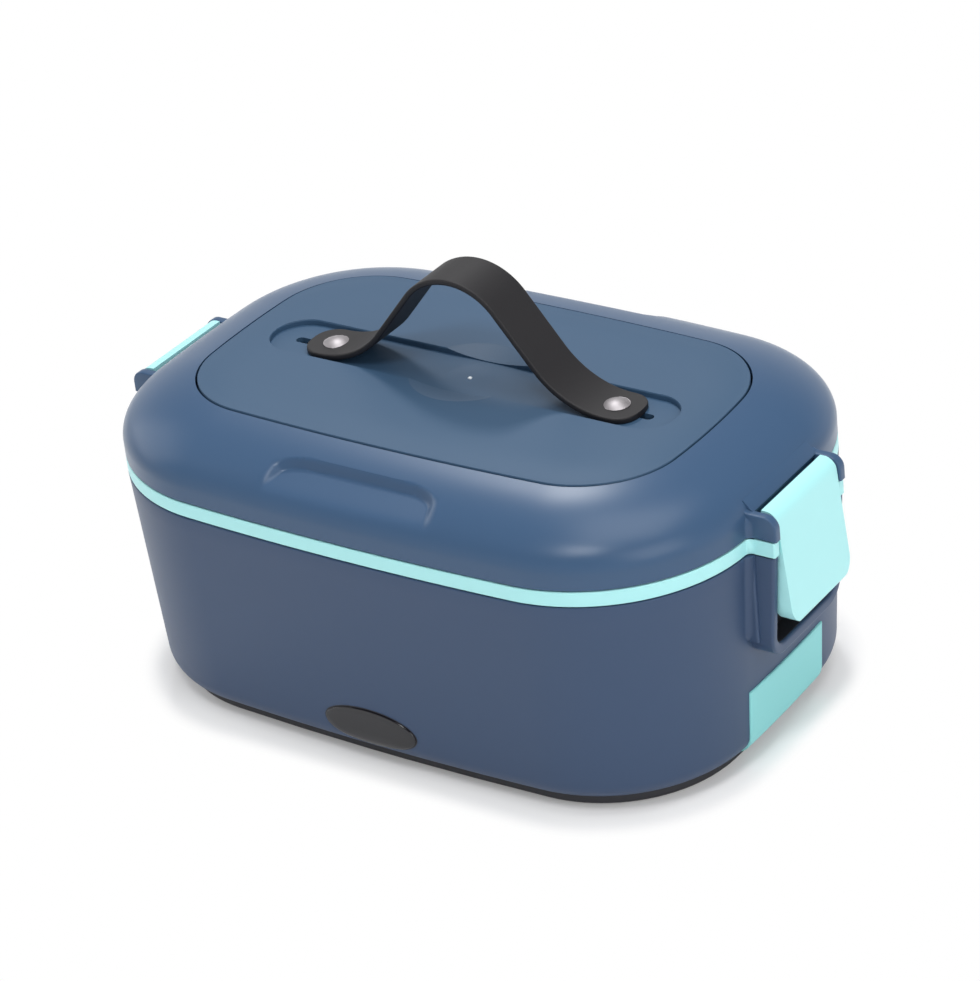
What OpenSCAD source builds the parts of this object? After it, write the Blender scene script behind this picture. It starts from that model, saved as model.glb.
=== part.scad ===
// Electric lunch box: a heated two-tone plastic body with a lift-out steel bowl, a clip-on lid and a carry strap.
// Origin at the centre of the footprint on the table, +X to the inlet end, -Y to the lens, +Z up, in millimetres.

/* [Body outline] */
// Length of the body at its rim, end to end
rim_length = 232; // [200:1:280]
// Width of the body at its rim, front to rear
rim_width = 158; // [140:1:180]
// Radius of the four upright corners at the rim
corner_r = 56; // [52:1:56]
// How far the end walls bow out past the corners
end_bow = 0.4; // [0.2:0.1:1.5]
// How far the side walls bow out past the corners
side_bow = 1.6; // [0.4:0.1:2.5]

/* [Body heights] */
// Height that the rubber feet lift the bottom cover
foot_lift = 1; // [0.6:0.1:3]
// Height of the black bottom cover that shows under the shell
base_strip = 4; // [3:0.5:6]
// Height of the outer shell's upper edge above the table
shell_top = 80.5; // [76:0.5:90]
// Height of the liner's coloured rim band
band_height = 5.2; // [4:0.1:8]
// Shadow gap above and below the rim band
band_gap = 0.4; // [0.3:0.05:0.8]
// Wall of the outer shell and of the lid
shell_wall = 2.4; // [2:0.1:2.8]
// How far the shell's side wall leans in between rim and base
wall_lean = 4; // [2:0.25:6]
// Radius where the side wall turns under the base
base_fillet = 7.5; // [7:0.25:8.5]

/* [Lid] */
// Height of the lid's upright edge
lid_edge = 4.9; // [4:0.1:7]
// Rise of the rounded crown above the upright edge
crown_rise = 17.8; // [15:0.2:22]
// Width of the rounded crown, from the edge to the flat top
crown_width = 42; // [36:1:44]
// Distance that the top plate stays inside the lid's ends
plate_inset = 25; // [22:0.5:28]
// Distance that the top plate stays inside the lid's sides
plate_side_inset = 26.5; // [23:0.5:30]
// Radius of the top plate's bowed ends
plate_end_r = 290; // [250:5:400]
// Thickness of the top plate at its edge
plate_edge = 2.5; // [2:0.1:3]
// Half the width of the thumb rests in the lid's front and rear
rest_half = 28.5; // [20:0.5:32]

/* [Strap] */
// Distance between the strap's two rivets
rivet_pitch = 109.4; // [100:0.2:120]
// How far the strap stands off centre along its slots
strap_shift = 1.6; // [-2:0.2:2]
// Width of the strap
strap_width = 18.5; // [14:0.5:20]
// Thickness of the strap
strap_thick = 2; // [1.6:0.1:2.4]
// Height of the strap's arch above its flat ends
strap_rise = 37.7; // [34:0.1:40]
// Length of strap beyond each rivet
strap_end = 9.5; // [8:0.5:11]
// Travel of each rivet along its slot as the strap is pressed down
slot_travel = 11.5; // [8:0.5:12]

/* [Latches] */
// Width of a latch
latch_width = 37.8; // [30:0.2:44]
// Height of a latch's lower edge above the table
latch_low = 54.2; // [50:0.2:58]
// How far a latch's lower edge stands out from the lid's edge
latch_reach = 12; // [11:0.5:14]
// Thickness of a latch's front
latch_wall = 2.4; // [2:0.1:3]
// Radius of a latch's pivot stubs
stub_r = 1.6; // [1.3:0.1:1.9]
// Thickness of the cheeks on each side of a latch
cheek = 3.2; // [2.8:0.1:4]
// Height of the latch guard's lower bar above the table
guard_low = 41.5; // [38:0.5:43]

/* [Inlets and light] */
// Width of the silicone inlet cover
cover_width = 47; // [46:0.5:56]
// Height of the inlet cover's upper edge above the table
cover_top = 29; // [26:0.2:30]
// Height of the inlet sockets' centres above the table
socket_z = 16.5; // [16:0.1:17]
// Distance between the two inlet sockets
socket_pitch = 23; // [22:0.5:25]
// Width of the indicator lens
lens_width = 35.6; // [30:0.2:42]
// Height of the indicator lens
lens_height = 14; // [12:0.2:15]
// Height of the lens's centre above the table
lens_z = 15.6; // [15:0.2:17]

/* [Inside] */
// Wall of the tub liner
liner_wall = 2; // [1.6:0.1:2.4]
// Height of the tub's floor above the table
tub_floor = 22; // [21:0.5:24]
// Sheet thickness of the steel bowl
bowl_sheet = 0.8; // [0.6:0.1:1]
// Length of the heating plate's raised face
plate_length = 149; // [130:1:155]
// Width of the heating plate's raised face
plate_width = 83; // [74:1:86]
// Place of the divider tray's straight wall along the bowl
tray_wall_x = 28; // [10:1:45]
// Depth of the divider tray
tray_depth = 42; // [34:1:46]

/* [Hidden] */
$fa = 0.8;
$fs = 0.4;

// colours
navy = "#4a5f7c";
mint = "#a6e8e8";
black = "#2b2930";
steel = "#c9cbd0";

// clearances between pieces that move apart, and a hair that makes cuts run through
gap = 0.3;
hair = 0.01;

// heights worked out from the driving dimensions
base_z = foot_lift;
strip_top = base_z + base_strip;
band_z = shell_top + band_gap;
band_top = band_z + band_height;
lid_z = band_top + band_gap;
crown_z = lid_z + lid_edge;
lid_top = crown_z + crown_rise;
half_l = rim_length / 2;
half_w = rim_width / 2;
corner_x = half_l - corner_r - end_bow;
corner_y = half_w - corner_r - side_bow;

// radii of the bowed walls, so that they run on from the corner arcs
side_r = (pow(corner_x, 2) / (half_w - corner_y - corner_r) + half_w - corner_y + corner_r) / 2;
end_r = (pow(corner_y, 2) / (half_l - corner_x - corner_r) + half_l - corner_x + corner_r) / 2;
// an outline is [half length, half width, side radius, end radius, corner radius]
rim = [half_l, half_w, side_r, end_r, corner_r];
plate_outline = [half_l - plate_inset, half_w - plate_side_inset, side_r - plate_inset,
                 plate_end_r, corner_r - plate_inset + 1.3];

// centre of an outline's corner arc in the +X +Y quarter: it touches both bowed walls
function corner_at(o) =
  let (side = [0, o[1] - o[2]], end = [o[0] - o[3], 0],
       rs = o[2] - o[4], re = o[3] - o[4], d = norm(end - side),
       m = (rs * rs - re * re + d * d) / (2 * d), h = sqrt(rs * rs - m * m), e = (end - side) / d)
  side + m * e + h * [e[1], -e[0]];
// half the sweep of the side walls' arcs, and of the end walls' arcs
function side_sweep(o) = let (c = corner_at(o)) atan2(c[0], c[1] - o[1] + o[2]);
function end_sweep(o) = let (c = corner_at(o)) atan2(c[1], c[0] - o[0] + o[3]);
// the eight points where an outline's arcs meet, moved inwards
function joints_of(o, inset) =
  let (c = corner_at(o), r = o[4] - inset, a = side_sweep(o), b = end_sweep(o),
       p = c + r * [cos(b), sin(b)], q = c + r * [sin(a), cos(a)])
  [p, q, [-q[0], q[1]], [-p[0], p[1]], -p, -q, [q[0], -q[1]], [p[0], -p[1]]];
// points along an outline, with its corners drawn as short steps
function outline_points(o, inset, steps = 10) =
  let (c = corner_at(o), r = o[4] - inset, a = side_sweep(o), b = end_sweep(o),
       corner = [for (i = [0:steps]) let (t = b + (90 - a - b) * i / steps) c + r * [cos(t), sin(t)]],
       side = [for (i = [1:5]) let (t = a * (1 - i / 3))
               [0, o[1] - o[2]] + (o[2] - inset) * [sin(t), cos(t)]],
       end = [for (i = [1:3]) let (t = b * (1 - i / 2))
              [o[0] - o[3], 0] + (o[3] - inset) * [cos(t), sin(t)]])
  concat(corner, side, [for (i = [steps:-1:0]) [-corner[i][0], corner[i][1]]], [for (e = end) [-e[0], e[1]]],
         -corner, -side, [for (i = [steps:-1:0]) [corner[i][0], -corner[i][1]]], [for (e = end) [e[0], -e[1]]]);
// points along a circle's arc
function arc(c, r, from, to, steps = 8) =
  [for (i = [0:steps]) let (t = from + (to - from) * i / steps) c + r * [cos(t), sin(t)]];

// the rim's arc centres, and points on the lines where its side, corner and end arcs meet
side_c = [0, half_w - side_r];
end_c = [half_l - end_r, 0];
corner_c = [corner_x, corner_y];
side_joint = side_c + 1.1 * (corner_c - side_c);
end_joint = end_c + 1.2 * (corner_c - end_c);
// one bowed side wall, one bowed end wall, and one corner, swept from a profile of [minus inset, height]
module side_wall(spare = 1) {
  a = side_sweep(rim) + spare;
  translate([side_c[0], side_c[1], 0]) rotate_extrude(start = 90 - a, angle = 2 * a) translate([side_r, 0]) children();
}
module end_wall(spare = 1) {
  b = end_sweep(rim) + spare;
  translate([end_c[0], end_c[1], 0]) rotate_extrude(start = -b, angle = 2 * b) translate([end_r, 0]) children();
}
module corner_wall() {
  translate([corner_c[0], corner_c[1], 0]) rotate_extrude(start = -5, angle = 100) translate([corner_r, 0]) children();
}
module wedge(points) { translate([0, 0, -10]) linear_extrude(lid_top + 20) polygon(points); }
// a whole ring round the rim, its arcs trimmed where they meet
module ring() {
  for (turn = [0, 180]) rotate([0, 0, turn]) {
    intersection() {
      side_wall() children();
      wedge([side_c, side_joint, [-side_joint[0], side_joint[1]]]);
    }
    intersection() {
      end_wall() children();
      wedge([end_c, end_joint, [end_joint[0], -end_joint[1]]]);
    }
    for (flip = [0, 1]) mirror([0, flip, 0]) intersection() {
      corner_wall() children();
      wedge([corner_c, side_joint, [end_joint[0], side_joint[1]], end_joint]);
    }
  }
}
// the middle of a ring whose profile runs inwards past core_inset
core_inset = 43;
core_reach = core_inset + 5;
module core(from, to) {
  translate([0, 0, from]) linear_extrude(to - from) polygon(joints_of(rim, core_inset));
}
// a rectangle with true round corners, centred
module rounded(l, w, r) {
  for (x = [-1, 1], y = [-1, 1]) translate([x * (l / 2 - r), y * (w / 2 - r)]) circle(r);
  square([l - 2 * r, w], center = true);
  square([l, w - 2 * r], center = true);
}
// a bar with round ends, lying along X, centred
module stadium(l, w) {
  for (x = [-1, 1]) translate([x * (l - w) / 2, 0]) circle(w / 2);
  square([l - w, w], center = true);
}
// a tube along a smooth route
function spline(p, steps) =
  [for (i = [0:len(p) - 2], k = [0:steps - 1])
     let (a = p[max(i - 1, 0)], b = p[i], c = p[i + 1], d = p[min(i + 2, len(p) - 1)], t = k / steps)
     b + 0.5 * t * ((c - a) + t * ((2 * a - 5 * b + 4 * c - d) + t * (3 * b - a - 3 * c + d))),
   p[len(p) - 1]];
module tube(route, r, sides = 8) {
  p = spline(route, 4);
  n = len(p);
  heading = [for (i = [0:n - 1]) let (v = p[min(i + 1, n - 1)] - p[max(i - 1, 0)]) v / norm(v)];
  ring_at = [for (i = [0:n - 1])
    let (h = heading[i], u = cross(h, abs(h[2]) < 0.8 ? [0, 0, 1] : [1, 0, 0]), s = u / norm(u), t = cross(h, s))
    for (k = [0:sides - 1]) let (a = 360 * k / sides) p[i] + r * (cos(a) * s + sin(a) * t)];
  faces = concat([[for (k = [0:sides - 1]) k]],
    [for (i = [0:n - 2], k = [0:sides - 1]) let (a = i * sides + k, b = i * sides + (k + 1) % sides)
       [b, a, a + sides, b + sides]],
    [[for (k = [sides - 1:-1:0]) (n - 1) * sides + k]]);
  polyhedron(ring_at, faces, convexity = 6);
}

// ---- outer shell and base ----
// the shell's outer face leans in from the rim and turns under the base
lean = atan(wall_lean / (shell_top - 12));
turn_z = 12 + base_fillet * sin(lean);
turn_u = wall_lean + base_fillet * cos(lean);
// a point of the wall's face, moved out by d: at a height on the leaning part, or at an angle under it
function face_at(z, d = 0) = [-(shell_top - z) * tan(lean) + d / cos(lean), z];
function turn_at(angle, d = 0) = [-turn_u, turn_z] + (base_fillet + d) * [cos(angle), sin(angle)];
function wall_line(top, low_angle, d = 0) =
  concat([face_at(top, d)], [for (i = [0:7]) turn_at(-lean + (low_angle + lean) * i / 7, d)]);
function wall_x(z) = half_l + face_at(z)[0];
edge_angle = -75;

module profile_band(outer, inner) {
  polygon(concat(outer, [for (i = [len(inner) - 1:-1:0]) inner[i]]));
}

// latch and guard places along X
ear_x = half_l + 9.5;
tab_x = half_l + 8.8;
guard_x = half_l + 8.4;
ear_in = latch_width / 2 + 0.35;
ear_out = ear_in + cheek;
guard_bar = 4;
guard_corner = 8.5;
hole_corner = 5.3;

// one latch guard: two cheeks and a bar, open to the outside
module guard() {
  lean_out = 2.9;
  intersection() {
    rotate([90, 0, 90]) difference() {
      linear_extrude(half_l + 20) union() {
        translate([-ear_out, guard_low + guard_corner]) square([2 * ear_out, shell_top - guard_low - guard_corner]);
        translate([-ear_out + guard_corner, guard_low]) square([2 * (ear_out - guard_corner), guard_corner + 1]);
        for (y = [-1, 1]) translate([y * (ear_out - guard_corner), guard_low + guard_corner]) circle(guard_corner);
      }
      translate([0, 0, -1]) linear_extrude(half_l + 30) union() {
        hole_low = guard_low + guard_bar;
        translate([-ear_in, hole_low + hole_corner]) square([2 * ear_in, shell_top]);
        translate([-ear_in + hole_corner, hole_low]) square([2 * (ear_in - hole_corner), hole_corner + 1]);
        for (y = [-1, 1]) translate([y * (ear_in - hole_corner), hole_low + hole_corner]) circle(hole_corner);
      }
    }
    rotate([90, 0, 0]) translate([0, 0, -ear_out - 1]) linear_extrude(2 * ear_out + 2)
      polygon([[half_l - 3.6, guard_low], [guard_x - lean_out, guard_low], [guard_x, shell_top],
               [half_l - 1.2, shell_top]]);
  }
  // the thicker root that the cheeks grow from
  root_x = half_l + 1.4;
  for (y = [-1, 1]) translate([0, y * (ear_out + 0.5), 0]) rotate([90, 0, 0])
    linear_extrude(1.6, center = true)
      polygon([[half_l - 3.6, guard_low + guard_corner - 2], [root_x, guard_low + guard_corner - 1],
               [root_x, shell_top - 1.6],
               [half_l - 1.2, shell_top - 1.6]]);
}

// plan and section of the parts at the inlet end
cover_depth = 1;
cover_proud = 1.2;
block_x = wall_x(socket_z) - 4.5;
mains_y = -socket_pitch / 2;
dc_y = socket_pitch / 2;
module mains_shape(grow = 0) { stadium(16.6 + 2 * grow, 8 + 2 * grow); }
module along_x(from, length, y = 0, z = socket_z) {
  translate([from, y, z]) rotate([90, 0, 90]) linear_extrude(length) children();
}

// lens outline, a flat oval
function oval(l, h, steps = 48) = [for (i = [0:steps - 1]) let (t = 360 * i / steps) [l / 2 * cos(t), h / 2 * sin(t)]];
module lens_prism(grow, from, to) {
  translate([0, -from, lens_z]) rotate([90, 0, 0]) linear_extrude(to - from)
    polygon(oval(lens_width + 2 * grow, lens_height + 2 * grow));
}

module outer_shell() {
  color(navy) difference() {
    union() {
      ring() profile_band(wall_line(shell_top, edge_angle), wall_line(shell_top, edge_angle, -shell_wall));
      guard();
      mirror([1, 0, 0]) guard();
      // seat for the two inlets behind the end wall
      translate([block_x, -cover_width / 2 - 1.5, 10])
        cube([3.2, cover_width + 3, cover_top - 10]);
    }
    // shallow recess for the silicone cover
    intersection() {
      end_wall() profile_band(wall_line(cover_top + gap, -64, -cover_depth),
                                 wall_line(cover_top + gap, -64, 6));
      translate([0, -cover_width / 2 - gap, 0]) cube([half_l + 20, cover_width + 2 * gap, shell_top]);
    }
    along_x(block_x - 5, 20, mains_y) mains_shape(1.9);
    along_x(block_x - 5, 20, dc_y) circle(6);
    // two screw holes beside each inlet
    for (y = inlet_screw_y) along_x(block_x - 1, 3, y) circle(0.9);
    lens_prism(0.15, half_w - 20, half_w + 5);
  }
}

// screw places in plan
base_screw_at = [for (x = [-1, 1], y = [-1, 1]) [x * (half_l - 25), y * (half_w - 49)],
                 [0, half_w - 23], [0, 23 - half_w]];
foot_at = [for (x = [-1, 1], y = [-1, 1]) [x * (half_l - 38), y * (half_w - 35)]];
inlet_ear = 12.2;
inlet_screw_y = [mains_y - inlet_ear, mains_y + inlet_ear, dc_y + inlet_ear];
cover_sheet = 2;
cup_top = base_z + 5.2;
screw_seat = base_z + 3.2;
foot_r = 6;
strip_inset = 9.85;

module bottom_cover() {
  color(black) difference() {
    union() {
      ring() polygon([[-strip_inset - 1, base_z], [-strip_inset, base_z + 1], [-strip_inset, strip_top],
                      [-strip_inset - 1.1, strip_top], [-strip_inset - 1.1, strip_top + 4],
                      [-strip_inset - 2.6, strip_top + 4], [-strip_inset - 2.6, base_z + cover_sheet],
                      [-core_reach, base_z + cover_sheet], [-core_reach, base_z]]);
      core(base_z, base_z + cover_sheet);
      for (p = base_screw_at) translate([p[0], p[1], base_z]) cylinder(r = 5, h = cup_top - base_z);
    }
    for (p = base_screw_at) translate([p[0], p[1], base_z - 1]) {
      cylinder(r = 3.6, h = screw_seat - base_z + 1);
      cylinder(r = 1.8, h = 10);
    }
    for (p = foot_at) translate([p[0], p[1], base_z - 1]) cylinder(r = foot_r + 0.1, h = 1.8);
  }
}

module rubber_feet() {
  color("#242226") for (p = foot_at) translate([p[0], p[1], 0]) {
    cylinder(r1 = foot_r - 0.6, r2 = foot_r, h = 0.6);
    translate([0, 0, 0.6]) cylinder(r = foot_r, h = base_z + 0.8 - 0.6);
  }
}

// a pan-head screw: head below z, shank rising from it
module screw(head_r, head_h, shank_r, shank_h) {
  difference() {
    translate([0, 0, -head_h]) cylinder(r = head_r, h = head_h);
    for (turn = [0, 90]) rotate([0, 0, turn]) translate([-head_r * 0.55, -0.35, -head_h - hair])
      cube([head_r * 1.1, 0.7, head_h * 0.5]);
  }
  cylinder(r = shank_r, h = shank_h);
}

module base_screws() {
  color(steel) for (p = base_screw_at) translate([p[0], p[1], screw_seat]) screw(2.9, 2, 1.4, 9.5);
}

// ---- tub liner, bowl and tray ----
step_u = 7;
ledge_u = 13.6;
ledge_z = band_top - 4.1;
tub_turn = 10;
tub_lean = 3;
tub_turn_z = tub_floor + tub_turn;
// a tub's line from its top inwards to the floor: at inset u, leaning in by tub_lean, then round to the floor
function tub_line(u, top, floor_z, r, lean_in) =
  concat([[-u, top]], arc([-u - lean_in - r, floor_z + r], r, 0, -90, 8), [[-core_reach, floor_z]]);

bar_screw_x = 50;
plate_screw_at = [for (x = [-1, 1], y = [-1, 1]) [x * (plate_length / 2 + 7), y * (plate_width / 4)]];
flange_l = plate_length + 23;
flange_w = plate_width + 15;
floor_low = tub_floor - liner_wall;
seal_h = 0.8;
flange_top = floor_low - seal_h;
flange_low = flange_top - 1.6;
face_top = tub_floor + 0.6;
pocket_top = face_top - 1.6;

module tub_liner() {
  color(mint) difference() {
    union() {
      // rim band, top flange, step and ledge
      ring() polygon([[0, band_z + 0.4], [0, band_top - 0.6], [-0.6, band_top], [-step_u, band_top],
                      [-step_u, ledge_z], [-ledge_u + 0.2, ledge_z], [-ledge_u - 0.4, ledge_z - 0.6],
                      [-ledge_u - 0.4, ledge_z - 2.4], [-step_u + liner_wall, ledge_z - 2.4],
                      [-step_u + liner_wall, band_top - liner_wall], [-4.6, band_top - liner_wall],
                      [-4.6, shell_top - 6.5], [-3.2, shell_top - 6.5], [-3.2, band_top - liner_wall],
                      [-2.2, band_top - liner_wall], [-2.2, band_z], [-0.4, band_z]]);
      // the tub's wall and floor
      ring() profile_band(tub_line(ledge_u - liner_wall + 0.4, ledge_z - 1, floor_low, tub_turn + liner_wall, tub_lean),
                          tub_line(ledge_u + 0.4, ledge_z - 1, tub_floor, tub_turn, tub_lean));
      core(floor_low, tub_floor);
      // screw posts down to the bottom cover
      for (p = base_screw_at) translate([p[0], p[1], cup_top + 0.1])
        cylinder(r = 4, h = tub_floor - 0.5 - cup_top - 0.1);
      // bosses under the floor for the heating plate's screws
      for (p = plate_screw_at) translate([p[0], p[1], flange_top + 0.05])
        cylinder(r = 3, h = tub_floor - flange_top - 0.5);
      // the cheeks' coloured tabs and the catch that the latches close on
      for (end = [0, 1]) mirror([end, 0, 0]) {
        for (y = [-1, 1]) translate([half_l - 1.5, y > 0 ? ear_in : -ear_out, band_z])
          cube([tab_x - half_l + 1.5, cheek, band_height]);
        translate([half_l - 1.5, -14, band_z]) cube([5.1, 28, 2.6]);
      }
    }
    // opening for the heating plate
    translate([0, 0, floor_low - 1]) linear_extrude(liner_wall + 2)
      rounded(plate_length + 0.8, plate_width + 0.8, 19.9);
    for (p = base_screw_at) translate([p[0], p[1], cup_top]) cylinder(r = 1.45, h = 9);
    for (p = plate_screw_at) translate([p[0], p[1], flange_top]) cylinder(r = 1.05, h = 2.2);
  }
}

bowl_floor = face_top + gap;
bowl_u = ledge_u + 1.2;
flange_z = ledge_z + gap;
module food_bowl() {
  color(steel) {
    ring() profile_band(
      concat([[-step_u - 1.2, flange_z]], tub_line(bowl_u, flange_z, bowl_floor, tub_turn + 3, tub_lean)),
      concat([[-step_u - 1.2, flange_z + bowl_sheet]],
             tub_line(bowl_u + bowl_sheet, flange_z + bowl_sheet, bowl_floor + bowl_sheet,
                      tub_turn + 3 - bowl_sheet, tub_lean)));
    core(bowl_floor, bowl_floor + bowl_sheet);
  }
}

tray_u = bowl_u + bowl_sheet + 0.8;
tray_sheet = 1.4;
tray_top = flange_z + bowl_sheet + gap;
tray_floor = tray_top - tray_depth;
module tray_block(u, low, high, x) {
  translate([0, 0, low]) linear_extrude(high - low) intersection() {
    polygon(outline_points(rim, u));
    translate([x, -half_w]) square([half_l, rim_width]);
  }
}
module divider_tray() {
  color("#dfeff0") difference() {
    union() {
      tray_block(tray_u + 3, tray_floor, tray_top, tray_wall_x);
      tray_block(tray_u + 4.4, tray_floor - 1.6, tray_top - 1, tray_wall_x + 1.4);
      // the lip that hangs on the bowl's rim
      tray_block(tray_u - 2.4, tray_top, tray_top + 1.2, tray_wall_x);
    }
    tray_block(tray_u + 3 + tray_sheet, tray_floor + tray_sheet, tray_top + 5, tray_wall_x + tray_sheet);
    tray_block(tray_u + 4.4 + tray_sheet, tray_floor, tray_top, tray_wall_x + 1.4 + tray_sheet);
  }
}

// ---- heater ----
module heating_plate() {
  color("#b9bcc2") difference() {
    union() {
      translate([0, 0, flange_low]) linear_extrude(flange_top - flange_low) rounded(flange_l, flange_w, 24);
      translate([0, 0, flange_low]) linear_extrude(face_top - flange_low) rounded(plate_length, plate_width, 19.5);
    }
    difference() {
      translate([0, 0, flange_low - 1]) linear_extrude(pocket_top - flange_low + 1)
        rounded(plate_length - 4, plate_width - 4, 17.5);
      for (x = [-1, 1]) translate([x * bar_screw_x, 0, flange_low - 2]) cylinder(r = 3.5, h = 9);
    }
    for (x = [-1, 1]) translate([x * bar_screw_x, 0, flange_low - 1]) cylinder(r = 1.45, h = 4.2);
    for (p = plate_screw_at) translate([p[0], p[1], flange_low - 1]) cylinder(r = 1.3, h = 5);
  }
}

module plate_seal() {
  color("#e8e8ea") translate([0, 0, flange_top]) linear_extrude(seal_h) difference() {
    rounded(plate_length + 7, plate_width + 7, 22);
    rounded(plate_length + 1.4, plate_width + 1.4, 20.2);
  }
}

module plate_screws() {
  color(steel) for (p = plate_screw_at) translate([p[0], p[1], flange_low]) screw(2.2, 1.4, 1, 3.6);
}

ptc_l = 68;
ptc_w = 34;
ptc_h = pocket_top - flange_low;
module ptc_heater() {
  color("#d8d4c8") {
    translate([-ptc_l / 2, -ptc_w / 2, flange_low]) difference() {
      cube([ptc_l, ptc_w, ptc_h]);
      // the slot that shows the ceramic tiles' edges
      translate([-1, 3, 1]) cube([2, ptc_w - 6, ptc_h - 2]);
      translate([ptc_l - 1, 3, 1]) cube([2, ptc_w - 6, ptc_h - 2]);
    }
    // two flat terminals
    for (y = [-1, 1]) translate([ptc_l / 2 - 1, y * 6 - 1.5, flange_low + 1.4]) cube([6, 3, 0.8]);
  }
}

bar_z = flange_low - 1;
module heater_bar() {
  color("#aeb2b8") difference() {
    translate([0, 0, bar_z]) linear_extrude(1) rounded(2 * bar_screw_x + 12, 12, 5);
    for (x = [-1, 1]) translate([x * bar_screw_x, 0, bar_z - 1]) cylinder(r = 1.6, h = 3);
  }
}
module bar_screws() {
  color(steel) for (x = [-1, 1]) translate([x * bar_screw_x, 0, bar_z]) screw(2.6, 1.6, 1.4, 3.8);
}

thermostat_at = [0, plate_width / 2 - 13];
module thermostat() {
  color("#8a8d92") translate([thermostat_at[0], thermostat_at[1], 0]) {
    translate([0, 0, pocket_top - 1.6]) cylinder(r = 8, h = 1.6);
    translate([0, 0, pocket_top - 6]) cylinder(r = 7.6, h = 4.4 + hair);
    for (end = [0, 1]) mirror([end, 0, 0]) {
      translate([7.4, -3, pocket_top - 9]) cube([0.8, 6, 4]);
      translate([5, -3, pocket_top - 6]) cube([3.2, 6, 1]);
    }
  }
}

fuse_at = [8, 9 - plate_width / 2];
fuse_z = pocket_top - 2;
module thermal_fuse() {
  color("#d9c8a8") translate([fuse_at[0], fuse_at[1], fuse_z]) rotate([0, 90, 0]) {
    translate([0, 0, -9]) cylinder(r = 2, h = 18);
    translate([0, 0, -12]) cylinder(r = 0.5, h = 24);
  }
}

// ---- inlets ----
inlet_depth = 11.6;
inlet_front = 2.6;
inlet_flange = 1.5;
pin_pitch = 8.6;
pin_r = 1.2;
pin_tail = 3;
module mains_inlet() {
  color(black) difference() {
    union() {
      along_x(block_x - inlet_depth, inlet_depth + inlet_front, mains_y) mains_shape(1.7);
      along_x(block_x - 0.1 - inlet_flange, inlet_flange, mains_y) {
        rounded(20.4, 13, 3);
        square([2 * inlet_ear, 4], center = true);
        for (y = [-1, 1]) translate([y * inlet_ear, 0]) circle(2.6);
      }
    }
    along_x(block_x - inlet_depth + 2, inlet_depth + 5, mains_y) mains_shape();
    for (y = [-1, 1]) {
      along_x(block_x - 3, 5, mains_y + y * inlet_ear) circle(1.15);
      along_x(block_x - inlet_depth - 1, 5, mains_y + y * pin_pitch / 2) circle(pin_r);
    }
  }
}
module mains_pins() {
  color(steel) for (y = [-1, 1])
    along_x(block_x - inlet_depth - pin_tail, inlet_depth + pin_tail - 1, mains_y + y * pin_pitch / 2) circle(pin_r);
}
module dc_inlet() {
  color(black) difference() {
    union() {
      along_x(block_x - inlet_depth + 1, inlet_depth - 1 + inlet_front, dc_y) circle(5.8);
      along_x(block_x - 0.1 - inlet_flange, inlet_flange, dc_y) {
        circle(7);
        translate([inlet_ear / 2, 0]) square([inlet_ear, 4], center = true);
        translate([inlet_ear, 0]) circle(2.6);
      }
    }
    along_x(block_x - inlet_depth + 4, inlet_depth + 5, dc_y) circle(4.2);
    along_x(block_x - 3, 5, dc_y + inlet_ear) circle(1.15);
    along_x(block_x - inlet_depth, 8, dc_y) circle(1.1);
  }
}
module dc_pin() {
  color(steel) along_x(block_x - inlet_depth - 2, inlet_depth, dc_y) circle(1.1);
}
module inlet_screws() {
  color(steel) for (y = inlet_screw_y) translate([block_x - 0.1 - inlet_flange, y, socket_z])
    rotate([0, 90, 0]) screw(1.9, 1.3, 0.85, 3.4);
}

module inlet_cover() {
  color("#8fd6d6") {
    intersection() {
      end_wall() profile_band(wall_line(cover_top, -62, gap - cover_depth), wall_line(cover_top, -62, cover_proud));
      translate([0, -cover_width / 2, 0]) cube([half_l + 20, cover_width, shell_top]);
    }
    // plugs that press into the sockets
    along_x(block_x + 0.6, wall_x(socket_z) - block_x - 0.8, mains_y) mains_shape(-0.8);
    along_x(block_x + 0.6, wall_x(socket_z) - block_x - 0.8, dc_y) circle(3.3);
  }
}

// ---- indicator ----
board_y = half_w - 12;
board_thick = 1.6;
lens_post_x = 12.5;
module lens_layer(grow, outer, inner) {
  intersection() {
    lens_prism(grow, half_w - 15, half_w + 5);
    rotate([0, 0, 180]) side_wall()
      profile_band(wall_line(lens_z + 12, edge_angle, outer), wall_line(lens_z + 12, edge_angle, inner));
  }
}
module indicator_lens() {
  color("#1d1a1e") {
    // the window that fills the hole, and the flange behind the wall
    lens_layer(0, 0.1, -3.4);
    lens_layer(1.2, -shell_wall - 0.1, -3.4);
    // posts that carry the light board
    for (x = [-1, 1]) translate([x * lens_post_x, -board_y, lens_z]) rotate([90, 0, 0]) difference() {
      cylinder(r = 2, h = 5.2);
      translate([0, 0, -1]) cylinder(r = 0.85, h = 4.5);
    }
  }
}
module led_board() {
  color("#2f6b46") translate([0, board_thick - board_y, lens_z]) rotate([90, 0, 0])
    linear_extrude(board_thick) difference() {
      rounded(32, 11, 1.5);
      for (x = [-1, 1]) translate([x * lens_post_x, 0]) circle(1.1);
    }
}
module leds() {
  color("#e05a4a") for (x = [-1, 1]) translate([x * 4.5, -board_y, lens_z]) rotate([90, 0, 0]) {
    cylinder(r = 1.9, h = 1);
    cylinder(r = 1.5, h = 3);
    translate([0, 0, 3]) sphere(r = 1.5);
  }
}
module led_screws() {
  color(steel) for (x = [-1, 1]) translate([x * lens_post_x, board_thick - board_y, lens_z])
    rotate([90, 0, 0]) screw(1.8, 1.2, 0.8, 3.4);
}

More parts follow.
